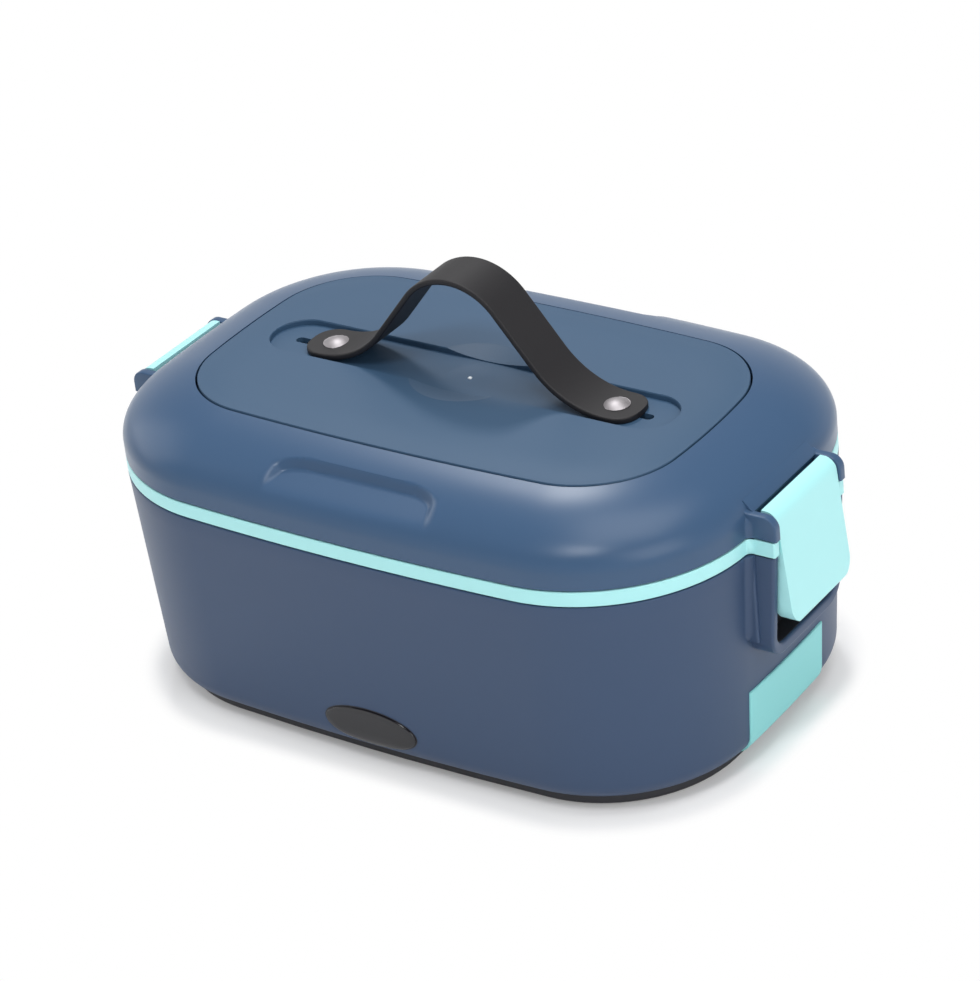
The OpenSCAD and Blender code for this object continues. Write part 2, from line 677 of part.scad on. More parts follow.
// ---- wiring under the tub ----
wire_r = 0.9;
low = 9;
pin_end = block_x - inlet_depth - pin_tail;
module heater_wires() {
  tag = ptc_l / 2 + 5;
  tag_z = flange_low + 1.8;
  tab_z = pocket_top - 7.5;
  tab_end = 8.2;
  out_y = mains_y + pin_pitch / 2;
  back_y = mains_y - pin_pitch / 2;
  color("#b23b34") tube([[pin_end, out_y, socket_z], [pin_end - 6, out_y, socket_z],
    [pin_end - 16, out_y - 2, 12], [62, -13, 11], [tag + 9, -12, 14.5], [tag + 4, -7.5, tag_z - 0.2],
    [tag, -6, tag_z]], wire_r);
  color("#2f5fa8") tube([[pin_end, back_y, socket_z], [pin_end - 6, back_y, socket_z],
    [pin_end - 16, back_y - 4, 12], [56, -30, low], [36, fuse_at[1], 11],
    [fuse_at[0] + 19, fuse_at[1], fuse_z - 1], [fuse_at[0] + 12, fuse_at[1], fuse_z]], wire_r);
  color("#2f5fa8") tube([[fuse_at[0] - 12, fuse_at[1], fuse_z], [fuse_at[0] - 19, fuse_at[1], fuse_z - 1],
    [-42, -28, low], [-46, 0, low], [-40, 22, low], [-24, thermostat_at[1], low + 1],
    [-tab_end - 5, thermostat_at[1], tab_z - 0.5], [-tab_end, thermostat_at[1], tab_z]], wire_r);
  color("#2f5fa8") tube([[tab_end, thermostat_at[1], tab_z], [tab_end + 6, thermostat_at[1], tab_z - 1],
    [34, 24, low + 1], [56, 16, low + 1], [tag + 9, 12, 14.5], [tag + 4, 7.5, tag_z - 0.2],
    [tag, 6, tag_z]], wire_r);
}
module led_wires() {
  back = board_thick + 0.8 - board_y;
  for (side = [-1, 1])
    color(side > 0 ? "#d0b040" : "#222222") tube([[side * 2.5, back, lens_z - 3], [side * 2.5 + 3, back + 3, 11],
      [18, back + 7 - side * 2, 7], [50, back + 14 - side * 2, 7], [68, back + 30 - side * 2, 7.5],
      [74, dc_y - 8 - side * 2, 9], [76, dc_y - 2 - side * 2, 13],
      [block_x - inlet_depth + 0.4, dc_y - side * 3, socket_z]], 0.6);
}

// ---- lid ----
// height of the lid's outer face, or of its inner face, at an inset from the edge
function crown_at(u, wall = 0) = crown_z + (crown_rise - wall) *
  sqrt(max(0, 1 - pow(max(0, crown_width - u) / (crown_width - wall), 2)));
crown_steps = 14;
// steps bunch up at the steep edge
function crown_line(wall = 0) = concat([for (i = [0:crown_steps])
  let (u = wall + (crown_width - wall) * (1 - cos(90 * i / crown_steps))) [-u, crown_at(u, wall)]],
  [[-core_reach, lid_top - wall]]);
module dome(wall, from) {
  ring() polygon(concat([[-wall, from]], crown_line(wall), [[-core_reach, from]]));
  core(from, lid_top - wall);
}
plate_low = crown_at(plate_inset) - plate_edge;

// the thumb rest: a sloping shelf cut into the crown, wider at the rim
rest_depth = 3.2;
rest_in = 15.2;
rest_slope = 0.3;
module thumb_rest(grow) {
  step_y = rest_in + grow - half_w;
  shelf = crown_at(rest_in) - rest_depth - grow;
  reach = rest_in + grow + 2;
  intersection() {
    translate([0, 0, crown_z]) linear_extrude(crown_rise + 5)
      polygon([[-rest_half - grow, step_y], [rest_half + grow, step_y],
               [rest_half + grow + 5, step_y - reach], [-rest_half - grow - 5, step_y - reach]]);
    rotate([90, 0, 90]) translate([0, 0, -rest_half - 12]) linear_extrude(2 * rest_half + 24)
      polygon([[step_y, shelf], [step_y, lid_top + 9], [step_y - reach, lid_top + 9],
               [step_y - reach, shelf - reach * rest_slope]]);
  }
}

pivot = [half_l + 5, crown_z - 0.4];
ear_top = crown_z + 3.3;
ear_corner = 4.2;
module ear() {
  for (y = [-1, 1]) translate([0, y * (ear_in + cheek / 2), 0]) rotate([90, 0, 0])
    linear_extrude(cheek, center = true) difference() {
      union() {
        polygon([[half_l - 1.4, lid_z], [ear_x, lid_z], [ear_x, ear_top - ear_corner],
                 [ear_x - ear_corner, ear_top], [half_l - 1.4, ear_top + 0.9]]);
        translate([ear_x - ear_corner, ear_top - ear_corner]) circle(ear_corner);
      }
      translate([half_l - 2, lid_z - ear_corner]) square([14, ear_corner]);
    }
  // lip between the ears that narrows the gap behind the latch to a slit
  rotate([90, 0, 0]) linear_extrude(2 * ear_in + cheek, center = true)
    polygon([[half_l - 1.4, crown_z + 1], [half_l + 0.7, crown_z + 1.8], [half_l + 1.6, crown_z + 3],
             [half_l + 1.5, crown_z + 3.4], [half_l - 0.8, crown_z + 4.1], [half_l - 1.4, crown_z + 3.8]]);
}

panel_top = lid_z + 2.7;
module lid_shell() {
  color(navy) difference() {
    union() {
      difference() {
        dome(0, lid_z);
        difference() {
          dome(shell_wall, lid_z - 1);
          for (turn = [0, 180]) rotate([0, 0, turn]) thumb_rest(shell_wall);
        }
      }
      // ledge that carries the top plate
      intersection() {
        translate([0, 0, plate_low - 2.2]) linear_extrude(2.4) difference() {
          polygon(outline_points(plate_outline, -2.5));
          polygon(outline_points(plate_outline, 5));
        }
        dome(0.4, lid_z);
      }
      // the step that the inner panel seats against
      ring() polygon([[-1.2, panel_top + 0.05], [-3.8, panel_top + 0.05], [-3.8, panel_top + 1.6],
                      [-1.2, panel_top + 2.2]]);
      ear();
      mirror([1, 0, 0]) ear();
    }
    for (turn = [0, 180]) rotate([0, 0, turn]) thumb_rest(0);
    translate([0, 0, plate_low]) linear_extrude(20) polygon(outline_points(plate_outline, -0.25));
    // holes for the latches' stubs
    for (x = [-1, 1]) translate([x * pivot[0], 0, pivot[1]]) rotate([90, 0, 0])
      cylinder(r = stub_r + 0.06, h = 2 * (ear_in + 2.3), center = true);
  }
}

recess_depth = 2;
recess_z = lid_top - recess_depth;
recess_w = strap_width + 4.5;
slot_w = 3.4;
slot_out = rivet_pitch / 2 + abs(strap_shift) + slot_travel + slot_w / 2 + 0.3;
slot_in = rivet_pitch / 2 - abs(strap_shift) - slot_w - 0.2;
dish_r = 20;
dish_depth = 2.4;
module top_plate() {
  dish_sphere = (dish_r * dish_r + dish_depth * dish_depth) / (2 * dish_depth);
  color("#566f90") {
    difference() {
      intersection() {
        translate([0, 0, plate_low]) linear_extrude(20) polygon(outline_points(plate_outline, 0));
        dome(0, lid_z);
      }
      translate([0, 0, recess_z]) linear_extrude(10) stadium(2 * slot_out + 12.8, recess_w);
      translate([0, 0, lid_top - dish_depth + dish_sphere]) sphere(dish_sphere, $fn = 160);
      for (turn = [0, 180]) rotate([0, 0, turn]) translate([(slot_out + slot_in) / 2, 0, plate_low - 1])
        linear_extrude(20) stadium(slot_out - slot_in, slot_w);
    }
    // moulding pip in the middle of the finger dish
    translate([0, 0, lid_top - dish_depth - 0.2]) cylinder(r = 0.7, h = 0.6);
  }
}

panel_sheet = 1.6;
rib_low = panel_top - 4.6;
module lid_inner_panel() {
  low = panel_top - panel_sheet;
  color("#dcecee") {
    ring() polygon([[-2.8, low], [-2.8, panel_top], [-core_reach, panel_top], [-core_reach, low],
                    [-ledge_u + 0.2, low], [-ledge_u + 0.2, rib_low], [-ledge_u + 1.2, rib_low],
                    [-ledge_u + 1.2, low], [-step_u - 1.6, low], [-step_u - 1.6, rib_low],
                    [-step_u - 0.6, rib_low], [-step_u - 0.6, low]]);
    core(low, panel_top);
  }
}

module lid_seal() {
  low = panel_top - panel_sheet;
  rim_top = flange_z + bowl_sheet;
  middle = (ledge_u + step_u) / 2;
  color("#f2f2f0") ring() polygon([[-step_u - 1.7, low], [-step_u - 1.7, low - 2.6], [-middle + 0.8, low - 2.6],
                                   [-middle + 0.6, rim_top + gap], [-middle - 0.6, rim_top + gap],
                                   [-middle - 0.8, low - 2.6], [-ledge_u + 1.3, low - 2.6], [-ledge_u + 1.3, low]]);
}

// ---- latches ----
latch_top = crown_z + 3.6;
bend_r = 4.3;
bend = [half_l + 4.2, latch_top - bend_r];
tip_r = 1.5;
tip = [half_l + latch_reach, latch_low + tip_r];
// the front face leaves the bend at this angle and runs straight to the tip
face_angle = atan2(tip[1] - bend[1], tip[0] - bend[0]) + acos(bend_r / norm(tip - bend));
face_out = [cos(face_angle), sin(face_angle)];
latch_corner = 7;
// the latch's outline seen from its end of the box, with rounded lower corners
module latch_front() {
  translate([half_l - 10, 0, latch_low]) rotate([90, 0, 90]) linear_extrude(latch_reach + 20) {
    translate([-latch_width / 2, latch_corner]) square([latch_width, latch_top - latch_low]);
    translate([latch_corner - latch_width / 2, 0]) square([latch_width - 2 * latch_corner, latch_corner + 1]);
    for (y = [-1, 1]) translate([y * (latch_width / 2 - latch_corner), latch_corner]) circle(latch_corner);
  }
}
module latch_slab(width, shape) {
  rotate([90, 0, 0]) linear_extrude(width, center = true) polygon(shape);
}
catch_x = half_l + 3.6;
module latch() {
  inner_tip = tip - latch_wall * face_out;
  front = [inner_tip[0] - 0.3, latch_low + 2];
  color(mint) {
    difference() {
      intersection() {
        latch_slab(latch_width, concat(
          [[half_l + 2.8, latch_top]], arc(bend, bend_r, 90, face_angle, 8),
          arc(tip - tip_r * face_out, tip_r, face_angle, -90, 5),
          [[half_l + 6.4, latch_low], [half_l + 3.6, latch_low + 18], [half_l + 2.6, latch_low + 30],
           [half_l + 2.6, latch_top - 1.4]]));
        latch_front();
      }
      latch_slab(latch_width - 4, concat(
        [[half_l - 5, bend[1] + bend_r - latch_wall]], arc(bend, bend_r - latch_wall, 90, face_angle, 6),
        [front, [half_l - 5, latch_low + 2]]));
    }
    // snap bead that closes under the liner's catch
    latch_slab(24, [[half_l + 8.4, band_z - 4.4], [catch_x + gap, band_z - 2.6],
                    [catch_x + gap, band_z - gap], [half_l + 8, band_z - gap]]);
    for (y = [-1, 1]) translate([pivot[0], y * (latch_width / 2 - 1.5), pivot[1]])
      rotate([-90 * y, 0, 0]) cylinder(r = stub_r, h = 1.5 + 0.35 + 2.1);
  }
}
module latch_right() { latch(); }
module latch_left() { mirror([1, 0, 0]) latch(); }

// ---- strap and rivets ----
strap_low = recess_z + 0.1;
strap_flat = strap_low + strap_thick;
crest_r = 22.5;
slope = 51.5;
arch_half = rivet_pitch / 2 + 1.8;
foot_r_arch = (arch_half * sin(slope) - strap_rise * cos(slope)) / (1 - cos(slope)) - crest_r;
strap_half = rivet_pitch / 2 + strap_end;
// half of the arch, drawn d below its upper face
function arch(d) = concat(
  arc([0, strap_flat + strap_rise - crest_r], crest_r - d, 90, 90 - slope, 8),
  arc([arch_half, strap_flat + foot_r_arch], foot_r_arch + d, 270 - slope, 270, 10),
  [[strap_half, strap_flat - d]]);
function mirrored(line) = [for (i = [len(line) - 1:-1:1]) [-line[i][0], line[i][1]]];
rivet_head_r = 4.6;
rivet_head_h = 1.3;
rivet_shank = 1.4;
module carry_strap() {
  upper = concat(mirrored(arch(0)), arch(0));
  lower = concat(mirrored(arch(strap_thick)), arch(strap_thick));
  color("#2e2a2f") translate([strap_shift, 0, 0]) difference() {
    intersection() {
      rotate([90, 0, 0]) linear_extrude(strap_width, center = true)
        polygon(concat(upper, [for (i = [len(lower) - 1:-1:0]) lower[i]]));
      translate([0, 0, strap_low - 1]) linear_extrude(strap_rise + strap_thick + 5)
        rounded(2 * strap_half, strap_width, 7);
    }
    for (x = [-1, 1]) translate([x * rivet_pitch / 2, 0, 0]) {
      translate([0, 0, strap_low - 1]) cylinder(r = rivet_shank + 0.2, h = 8);
      // the strap is pressed flat under the head
      translate([0, 0, strap_flat + 0.05]) cylinder(r = rivet_head_r + 0.3, h = 4);
    }
  }
}
washer_top = plate_low - gap;
washer_h = 0.8;
module rivet() {
  ball = (rivet_head_r * rivet_head_r + rivet_head_h * rivet_head_h) / (2 * rivet_head_h);
  color(steel) {
    intersection() {
      translate([0, 0, strap_flat + 0.1 + rivet_head_h - ball]) sphere(ball, $fn = 80);
      translate([0, 0, strap_flat + 0.1]) cylinder(r = rivet_head_r, h = 3);
    }
    translate([0, 0, washer_top - washer_h - 0.9]) cylinder(r = rivet_shank, h = strap_flat - washer_top + washer_h + 1.2);
    translate([0, 0, washer_top - washer_h - 0.9]) cylinder(r = 2.4, h = 0.9);
  }
}
module washer() {
  color("#b0a070") translate([0, 0, washer_top - washer_h]) difference() {
    cylinder(r = 4.5, h = washer_h);
    translate([0, 0, -1]) cylinder(r = rivet_shank + 0.05, h = 3);
  }
}
module at_rivet(side) { translate([strap_shift + side * rivet_pitch / 2, 0, 0]) children(); }
module rivet_left() { at_rivet(-1) rivet(); }
module rivet_right() { at_rivet(1) rivet(); }
module rivet_washer_left() { at_rivet(-1) washer(); }
module rivet_washer_right() { at_rivet(1) washer(); }

outer_shell();
bottom_cover();
rubber_feet();
base_screws();
tub_liner();
heating_plate();
plate_seal();
plate_screws();
ptc_heater();
heater_bar();
bar_screws();
thermostat();
thermal_fuse();
mains_inlet();
mains_pins();
dc_inlet();
dc_pin();
inlet_screws();
inlet_cover();
indicator_lens();
led_board();
leds();
led_screws();
heater_wires();
led_wires();
food_bowl();
divider_tray();
lid_shell();
top_plate();
lid_inner_panel();
lid_seal();
latch_left();
latch_right();
carry_strap();
rivet_left();
rivet_right();
rivet_washer_left();
rivet_washer_right();
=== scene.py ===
import math

import bmesh
import bpy
import numpy as np
from mathutils import Matrix, Vector


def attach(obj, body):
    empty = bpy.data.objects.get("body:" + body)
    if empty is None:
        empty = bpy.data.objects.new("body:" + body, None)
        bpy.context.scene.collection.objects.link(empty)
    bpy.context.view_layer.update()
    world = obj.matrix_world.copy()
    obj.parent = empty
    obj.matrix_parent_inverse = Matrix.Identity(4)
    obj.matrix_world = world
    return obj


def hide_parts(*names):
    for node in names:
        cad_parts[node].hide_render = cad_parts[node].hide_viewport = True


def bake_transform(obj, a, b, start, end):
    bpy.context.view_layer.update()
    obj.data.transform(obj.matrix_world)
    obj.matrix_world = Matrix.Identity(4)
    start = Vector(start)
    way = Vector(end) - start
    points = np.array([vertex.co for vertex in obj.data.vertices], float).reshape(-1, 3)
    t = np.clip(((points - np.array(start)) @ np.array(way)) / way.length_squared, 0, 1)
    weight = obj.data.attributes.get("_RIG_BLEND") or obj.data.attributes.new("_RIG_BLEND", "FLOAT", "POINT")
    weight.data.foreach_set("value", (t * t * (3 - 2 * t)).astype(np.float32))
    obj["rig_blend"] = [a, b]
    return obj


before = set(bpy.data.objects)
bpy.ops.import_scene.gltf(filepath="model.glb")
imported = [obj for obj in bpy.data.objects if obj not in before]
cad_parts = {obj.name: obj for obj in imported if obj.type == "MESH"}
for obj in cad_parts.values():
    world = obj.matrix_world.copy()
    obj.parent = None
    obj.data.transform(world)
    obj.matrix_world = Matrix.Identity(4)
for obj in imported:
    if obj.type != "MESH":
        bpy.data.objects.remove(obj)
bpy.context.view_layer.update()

# ---- Outer shell ----
# The shell is one injection-moulded polypropylene bucket with bowed walls that lean in and turn under at the
# base, with an open guard at each end that shields the latch.

MM = 0.001
HALF_LENGTH, HALF_WIDTH = 116.0, 79.0
CORNER_R = 56.0
CORNER_X, CORNER_Y = 59.6, 21.4
END_RAYS, CORNER_RAYS = 26, 88
REST_END_OUT, REST_END_IN = 33.0, 19.0


def bow_radius(half, centre, across):
    """Radius of a bowed wall that runs on smoothly from the corner arcs of radius CORNER_R."""
    rise = half - centre
    return (across**2 / (rise - CORNER_R) + rise + CORNER_R) / 2


SIDE_R = bow_radius(HALF_WIDTH, CORNER_Y, CORNER_X)
END_R = bow_radius(HALF_LENGTH, CORNER_X, CORNER_Y)


def rim_rays():
    """The rim as rays: each starts at the centre of the arc that it belongs to and meets the rim at that
    arc's radius. They go round once, and stand closer together where the thumb rests' ends are."""
    side_turn = math.atan2(CORNER_X, CORNER_Y - HALF_WIDTH + SIDE_R)
    end_turn = math.atan2(CORNER_Y, CORNER_X - HALF_LENGTH + END_R)
    side_half = SIDE_R * math.sin(side_turn)
    across = np.concatenate([np.linspace(side_half, REST_END_OUT, 22),
                             np.linspace(REST_END_OUT - 0.4, REST_END_IN, 55),
                             np.linspace(REST_END_IN - 1, 0, 12)])
    across = np.concatenate([across[:-1], -across[::-1]])
    side_angles = math.pi / 2 - np.arcsin(across / SIDE_R)
    corner_angles = np.linspace(end_turn, math.pi / 2 - side_turn, CORNER_RAYS + 2)[1:-1]
    end_angles = np.linspace(-end_turn, end_turn, END_RAYS)
    arcs = [((HALF_LENGTH - END_R, 0), END_R, end_angles),
            ((CORNER_X, CORNER_Y), CORNER_R, corner_angles),
            ((0, HALF_WIDTH - SIDE_R), SIDE_R, side_angles),
            ((-CORNER_X, CORNER_Y), CORNER_R, math.pi - corner_angles[::-1])]
    starts = np.concatenate([np.tile(c, (len(t), 1)) for c, _, t in arcs])
    reach = np.concatenate([np.full(len(t), r) for _, r, t in arcs])
    angles = np.concatenate([t for _, _, t in arcs])
    heading = np.stack([np.cos(angles), np.sin(angles)], 1)
    return (np.concatenate([starts, -starts]), np.concatenate([reach, reach]),
            np.concatenate([heading, -heading]))


RAY_START, RAY_REACH, RAY_HEADING = rim_rays()


def along_rim(profile):
    """Carries a profile of [inset, height] points round the rim: each becomes a row of points, at the ends of
    rays shortened by its inset and raised to its height."""
    profile = np.asarray(profile, float)
    flat = RAY_START + (RAY_REACH - profile[:, :1])[..., None] * RAY_HEADING
    return np.concatenate([flat, np.repeat(profile[:, 1], len(RAY_REACH)).reshape(len(profile), -1, 1)], 2)


def quads(rows, columns, round_rows, round_columns, first=0):
    """Faces of a grid of points, closed in either direction where asked. Each joins a point, the next one in
    its row, and the two beside them in the next row."""
    row = np.arange(rows if round_rows else rows - 1)[:, None] * columns
    next_row = (row + columns) % (rows * columns)
    column = np.arange(columns if round_columns else columns - 1)[None, :]
    next_column = (column + 1) % columns
    corners = np.stack(np.broadcast_arrays(row + column, row + next_column, next_row + next_column,
                                           next_row + column), -1)
    return (corners.reshape(-1, 4) + first).tolist()


def placed(name, data):
    """An object linked into the scene."""
    thing = bpy.data.objects.new(name, data)
    bpy.context.scene.collection.objects.link(thing)
    return thing


def mesh_piece(name, parts, sharp=35):
    """One object from several parts of points in millimetres and faces, smooth but at edges past the sharp
    angle in degrees."""
    points, faces = [], []
    for part_points, part_faces in parts:
        start = sum(len(p) for p in points)
        points.append(np.asarray(part_points, float).reshape(-1, 3))
        faces += [tuple(i + start for i in f) for f in part_faces]
    mesh = bpy.data.meshes.new(name)
    mesh.from_pydata((np.concatenate(points) * MM).tolist(), [], faces)
    work = bmesh.new()
    work.from_mesh(mesh)
    bmesh.ops.remove_doubles(work, verts=work.verts, dist=1e-7)
    bmesh.ops.recalc_face_normals(work, faces=work.faces)
    work.to_mesh(mesh)
    work.free()
    mesh.shade_smooth()
    mesh.set_sharp_from_angle(angle=math.radians(sharp))
    return placed(name, mesh)


def ring_part(profile):
    """A closed ring: the profile's loop carried round the rim."""
    rows = along_rim(profile)
    return rows, quads(rows.shape[0], rows.shape[1], True, True)


def arc(centre, radius, start, end, steps):
    """Points of a circle's arc, angles in degrees."""
    t = np.radians(np.linspace(start, end, steps + 1))
    return np.stack([centre[0] + radius * np.cos(t), centre[1] + radius * np.sin(t)], 1)


SHELL_TOP = 80.5
SHELL_WALL = 2.4
BASE_FILLET = 7.5
LEAN_IN, TURN_START = 4, 12
LEAN = math.atan(LEAN_IN / (SHELL_TOP - TURN_START))
TURN = (LEAN_IN + BASE_FILLET * math.cos(LEAN), TURN_START + BASE_FILLET * math.sin(LEAN))
LOWER_EDGE = 75


def wall_inset(height):
    """Inset of the leaning wall at a height: the drop from the shell's top times the tangent of its lean."""
    return (SHELL_TOP - height) * math.tan(LEAN)


def wall_profile(out=0.0, top=SHELL_TOP, low_angle=LOWER_EDGE, steps=14):
    """The wall's face moved outwards by a distance: straight and leaning, then round the turn to the low
    angle."""
    turn = arc((0, 0), BASE_FILLET + out, -math.degrees(LEAN), -low_angle, steps)
    turn = np.stack([TURN[0] - turn[:, 0], TURN[1] + turn[:, 1]], 1)
    heights = np.linspace(top, turn[0, 1], 12)[:-1]
    face = np.stack([wall_inset(heights) - out / math.cos(LEAN), heights], 1)
    return np.concatenate([face, turn])


def rounded_wall(outer, inner, edge=0.5):
    """A wall's loop between its outer and inner lines, with a small round at its upper outer edge."""
    round_edge = arc((outer[0, 0] + edge, outer[0, 1] - edge), edge, 90, 180, 4)
    return np.concatenate([inner[:1], round_edge, outer[outer[:, 1] < outer[0, 1] - edge], inner[::-1][:-1]])


shell_loop = rounded_wall(wall_profile(), wall_profile(-SHELL_WALL))

GUARD_LOW = 41.5
GUARD_BAR = 4.0
GUARD_REACH, GUARD_TAPER = 8.4, 2.9
GUARD_CORNER, GUARD_INNER_CORNER = 8.5, 5.3
LATCH_HALF = 18.9
EAR_IN = LATCH_HALF + 0.35
CHEEK = 3.2
EAR_OUT = EAR_IN + CHEEK


def frame_part(outer, inner, wall_x, face_x, edge=1.0, steps=6):
    """A flat frame between two lines of points in Y and Z. It stands out along X from wall_x to face_x, which
    have a value per point, and both edges of its face turn through a quarter circle."""
    width = np.linalg.norm(outer - inner, axis=1)[:, None]
    turn = np.radians(np.linspace(0, 90, steps + 1))
    in_from_side = edge * (1 - np.cos(turn))
    from_inner = np.concatenate([np.zeros((len(outer), 1)), np.tile(in_from_side, (len(outer), 1)),
                                 width - in_from_side[::-1], width], 1)
    back = np.concatenate([edge * (1 - np.sin(turn)), edge * (1 - np.sin(turn))[::-1]])
    x = np.concatenate([wall_x[:, None], face_x[:, None] - back, wall_x[:, None]], 1)
    yz = inner[:, None] + from_inner[..., None] * ((outer - inner) / width)[:, None]
    return np.concatenate([x[..., None], yz], 2), quads(len(outer), x.shape[1], False, True)


def guard_line(half, low, corner, steps=10):
    """The U of one edge of the guard in Y and Z: down one cheek, round a quarter circle, along the bar and up
    again as its mirror image."""
    cheek = np.stack([np.full(steps, half), np.linspace(SHELL_TOP - 0.05, GUARD_LOW + 12, steps)], 1)
    turn = arc((half - corner, low + corner), corner, 0, -90, steps)
    bar = np.stack([np.linspace(half - corner, 0, steps)[1:], np.full(steps - 1, low)], 1)
    side = np.concatenate([cheek, turn, bar])
    return np.concatenate([side, side[-2::-1] * [-1, 1]])


def guard_outer(height):
    """How far out along X the guard's edge stands at a height."""
    return HALF_LENGTH + GUARD_REACH - GUARD_TAPER * (SHELL_TOP - height) / (SHELL_TOP - GUARD_LOW)


def capped(rows):
    """A tube of rows of points closed by a face at each end."""
    n = rows.shape[1]
    last = (len(rows) - 1) * n
    return rows, quads(len(rows), n, False, True) + [tuple(range(n)), tuple(range(last, last + n))]


def flare_part(heights, wall, y, radius, out=0.0, edge=0.8):
    """A root at each height: a concave quarter circle leaves the wall at X = wall and runs into the face at
    y. Where out is given, the face runs on to X = out and turns round an edge there."""
    wall, radius = np.asarray(wall, float)[:, None], np.asarray(radius, float)[:, None]
    t = np.radians(np.linspace(0, 90, 11))
    x = wall + radius * (1 - np.cos(t)) - 0.06 * np.cos(t)
    side = y + radius * (1 - np.sin(t))
    flat = np.ones_like(wall)
    beyond, inside = 0.3, 0.4
    if out:
        x = np.concatenate([x, np.maximum(out - edge + edge * np.sin(t), x[:, -1:] + 0.01 * t)], 1)
        side = np.concatenate([side, flat * (y - edge + edge * np.cos(t))], 1)
        beyond, inside = 0, edge + 0.8
    x = np.concatenate([x, x[:, -1:] + beyond, wall - 1.5], 1)
    side = np.concatenate([side, flat * (y - inside), flat * (y - inside)], 1)
    return capped(np.stack([x, side, np.repeat(np.asarray(heights, float)[:, None], x.shape[1], 1)], 2))


def mirrored(part, axis):
    """The same part on the other side: one coordinate's sign and the order round each face are turned."""
    flip = np.ones(3)
    flip[axis] = -1
    return np.asarray(part[0]) * flip, [tuple(reversed(f)) for f in part[1]]


def both_ways(part):
    """A part at one end's cheek repeated for the other cheek and for the other end."""
    pair = [part, mirrored(part, 1)]
    return pair + [mirrored(p, 0) for p in pair]


def end_wall_x(height, y):
    """X of the end wall's face at a height: a circle of the bow's radius less the wall's inset."""
    reach = END_R - wall_inset(height)
    return HALF_LENGTH - END_R + np.sqrt(reach**2 - y**2)


guard_edge = guard_line(EAR_OUT, GUARD_LOW, GUARD_CORNER)
guard_hole = guard_line(EAR_IN, GUARD_LOW + GUARD_BAR, GUARD_INNER_CORNER)
guard = frame_part(guard_edge, guard_hole, end_wall_x(guard_edge[:, 1], 10) - 1.6,
                   guard_outer(guard_edge[:, 1]))
# The guard's cheeks stand on roots that fade out over their lowest stretch.
ROOT_R, ROOT_OUT, ROOT_REACH, ROOT_FADE = 2.2, 1.3, 1.6, 3
fade_rise = 1 - np.cos(np.radians(np.linspace(0, 90, 9)))
root_z = np.concatenate([GUARD_LOW + GUARD_CORNER - 1 + ROOT_FADE * fade_rise,
                         np.linspace(54, SHELL_TOP - 0.05, 12)])
root_size = ROOT_R * np.sqrt(np.clip((root_z - root_z[0] + 0.02) / ROOT_FADE, 0.01, 1))
root = flare_part(root_z, end_wall_x(root_z, EAR_OUT + 3), EAR_OUT + ROOT_OUT, root_size,
                  HALF_LENGTH + ROOT_REACH)

shell = mesh_piece("outer_shell", [ring_part(shell_loop), guard, mirrored(guard, 0)] + both_ways(root))


def linear(colour):
    """The linear colour of an sRGB hex value: a straight line near black and a power of 2.4 above it."""
    srgb = np.array([int(colour[i:i + 2], 16) for i in (1, 3, 5)]) / 255
    return (*np.where(srgb <= 0.04045, srgb / 12.92, ((srgb + 0.055) / 1.055) ** 2.4).tolist(), 1.0)


def add_node(tree, kind, inputs=None, **settings):
    """Adds a shader node, sets its properties, then sets or links its inputs."""
    node = tree.nodes.new("ShaderNode" + kind)
    for key, value in settings.items():
        setattr(node, key, value)
    for key, value in (inputs or {}).items():
        if isinstance(value, bpy.types.NodeSocket):
            tree.links.new(value, node.inputs[key])
        else:
            node.inputs[key].default_value = value
    return node


def finish_of(name, colour, roughness, metallic=0.0, grain=0.0, grain_mm=0.3, **more):
    """A material with a plain colour. Where grain is given, noise with cells of grain_mm is pressed into it,
    as a moulded or brushed texture."""
    material = bpy.data.materials.new(name)
    material.use_nodes = True
    tree = material.node_tree
    shader = tree.nodes["Principled BSDF"]
    shader.inputs["Base Color"].default_value = linear(colour)
    shader.inputs["Roughness"].default_value = roughness
    shader.inputs["Metallic"].default_value = metallic
    for key, value in more.items():
        shader.inputs[key.replace("_", " ")].default_value = value
    if grain:
        where = add_node(tree, "TexCoord")
        noise = add_node(tree, "TexNoise", {"Vector": where.outputs["Object"], "Scale": 1000 / grain_mm,
                                            "Detail": 2.0})
        bump = add_node(tree, "Bump", {"Height": noise.outputs["Fac"], "Strength": grain, "Distance": 0.0001})
        tree.links.new(bump.outputs["Normal"], shader.inputs["Normal"])
    return material


def dress(piece, material, body, slot, *nodes):
    """Gives a piece its material, sets it on its body and hides the solids that it stands for. Its slot is
    not used."""
    piece.data.materials.clear()
    piece.data.materials.append(material)
    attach(piece, body)
    if nodes:
        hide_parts(*nodes)


def upright(x, line):
    """A line in Y and Z set at its X values."""
    return np.concatenate([x[:, None], line], 1)


# A thin black sheet follows the bowed wall in the pocket behind each latch: painted shade for the deep shadow
# there.
SHADE_SHEET, SHADE_SHEET_SETBACK, SHADE_SHEET_BACK = 0.15, 1.4, 0.25
shade_sheet_line = guard_line(EAR_IN - SHADE_SHEET, GUARD_LOW + GUARD_BAR + SHADE_SHEET, GUARD_INNER_CORNER - SHADE_SHEET)
shade_sheet_wall = end_wall_x(guard_hole[:, 1], guard_hole[:, 0])
shade_sheet_edge = guard_outer(guard_hole[:, 1]) - SHADE_SHEET_SETBACK
shade_sheet_top = np.array([0, SHELL_TOP - 0.05])
shade_sheet_rows = [upright(shade_sheet_wall - 0.5, guard_hole), upright(shade_sheet_edge, guard_hole),
               upright(shade_sheet_edge, shade_sheet_line)]
for share in (1, 0.8, 0.6, 0.4, 0.2, 0.02):
    line = shade_sheet_top + share * (shade_sheet_line - shade_sheet_top)
    shade_sheet_rows.append(upright(end_wall_x(line[:, 1], line[:, 0]) + SHADE_SHEET_BACK, line))
shade_sheet = capped(np.stack(shade_sheet_rows))
pocket_shade_sheet = mesh_piece("pocket_shade_sheet", [shade_sheet, mirrored(shade_sheet, 0)])
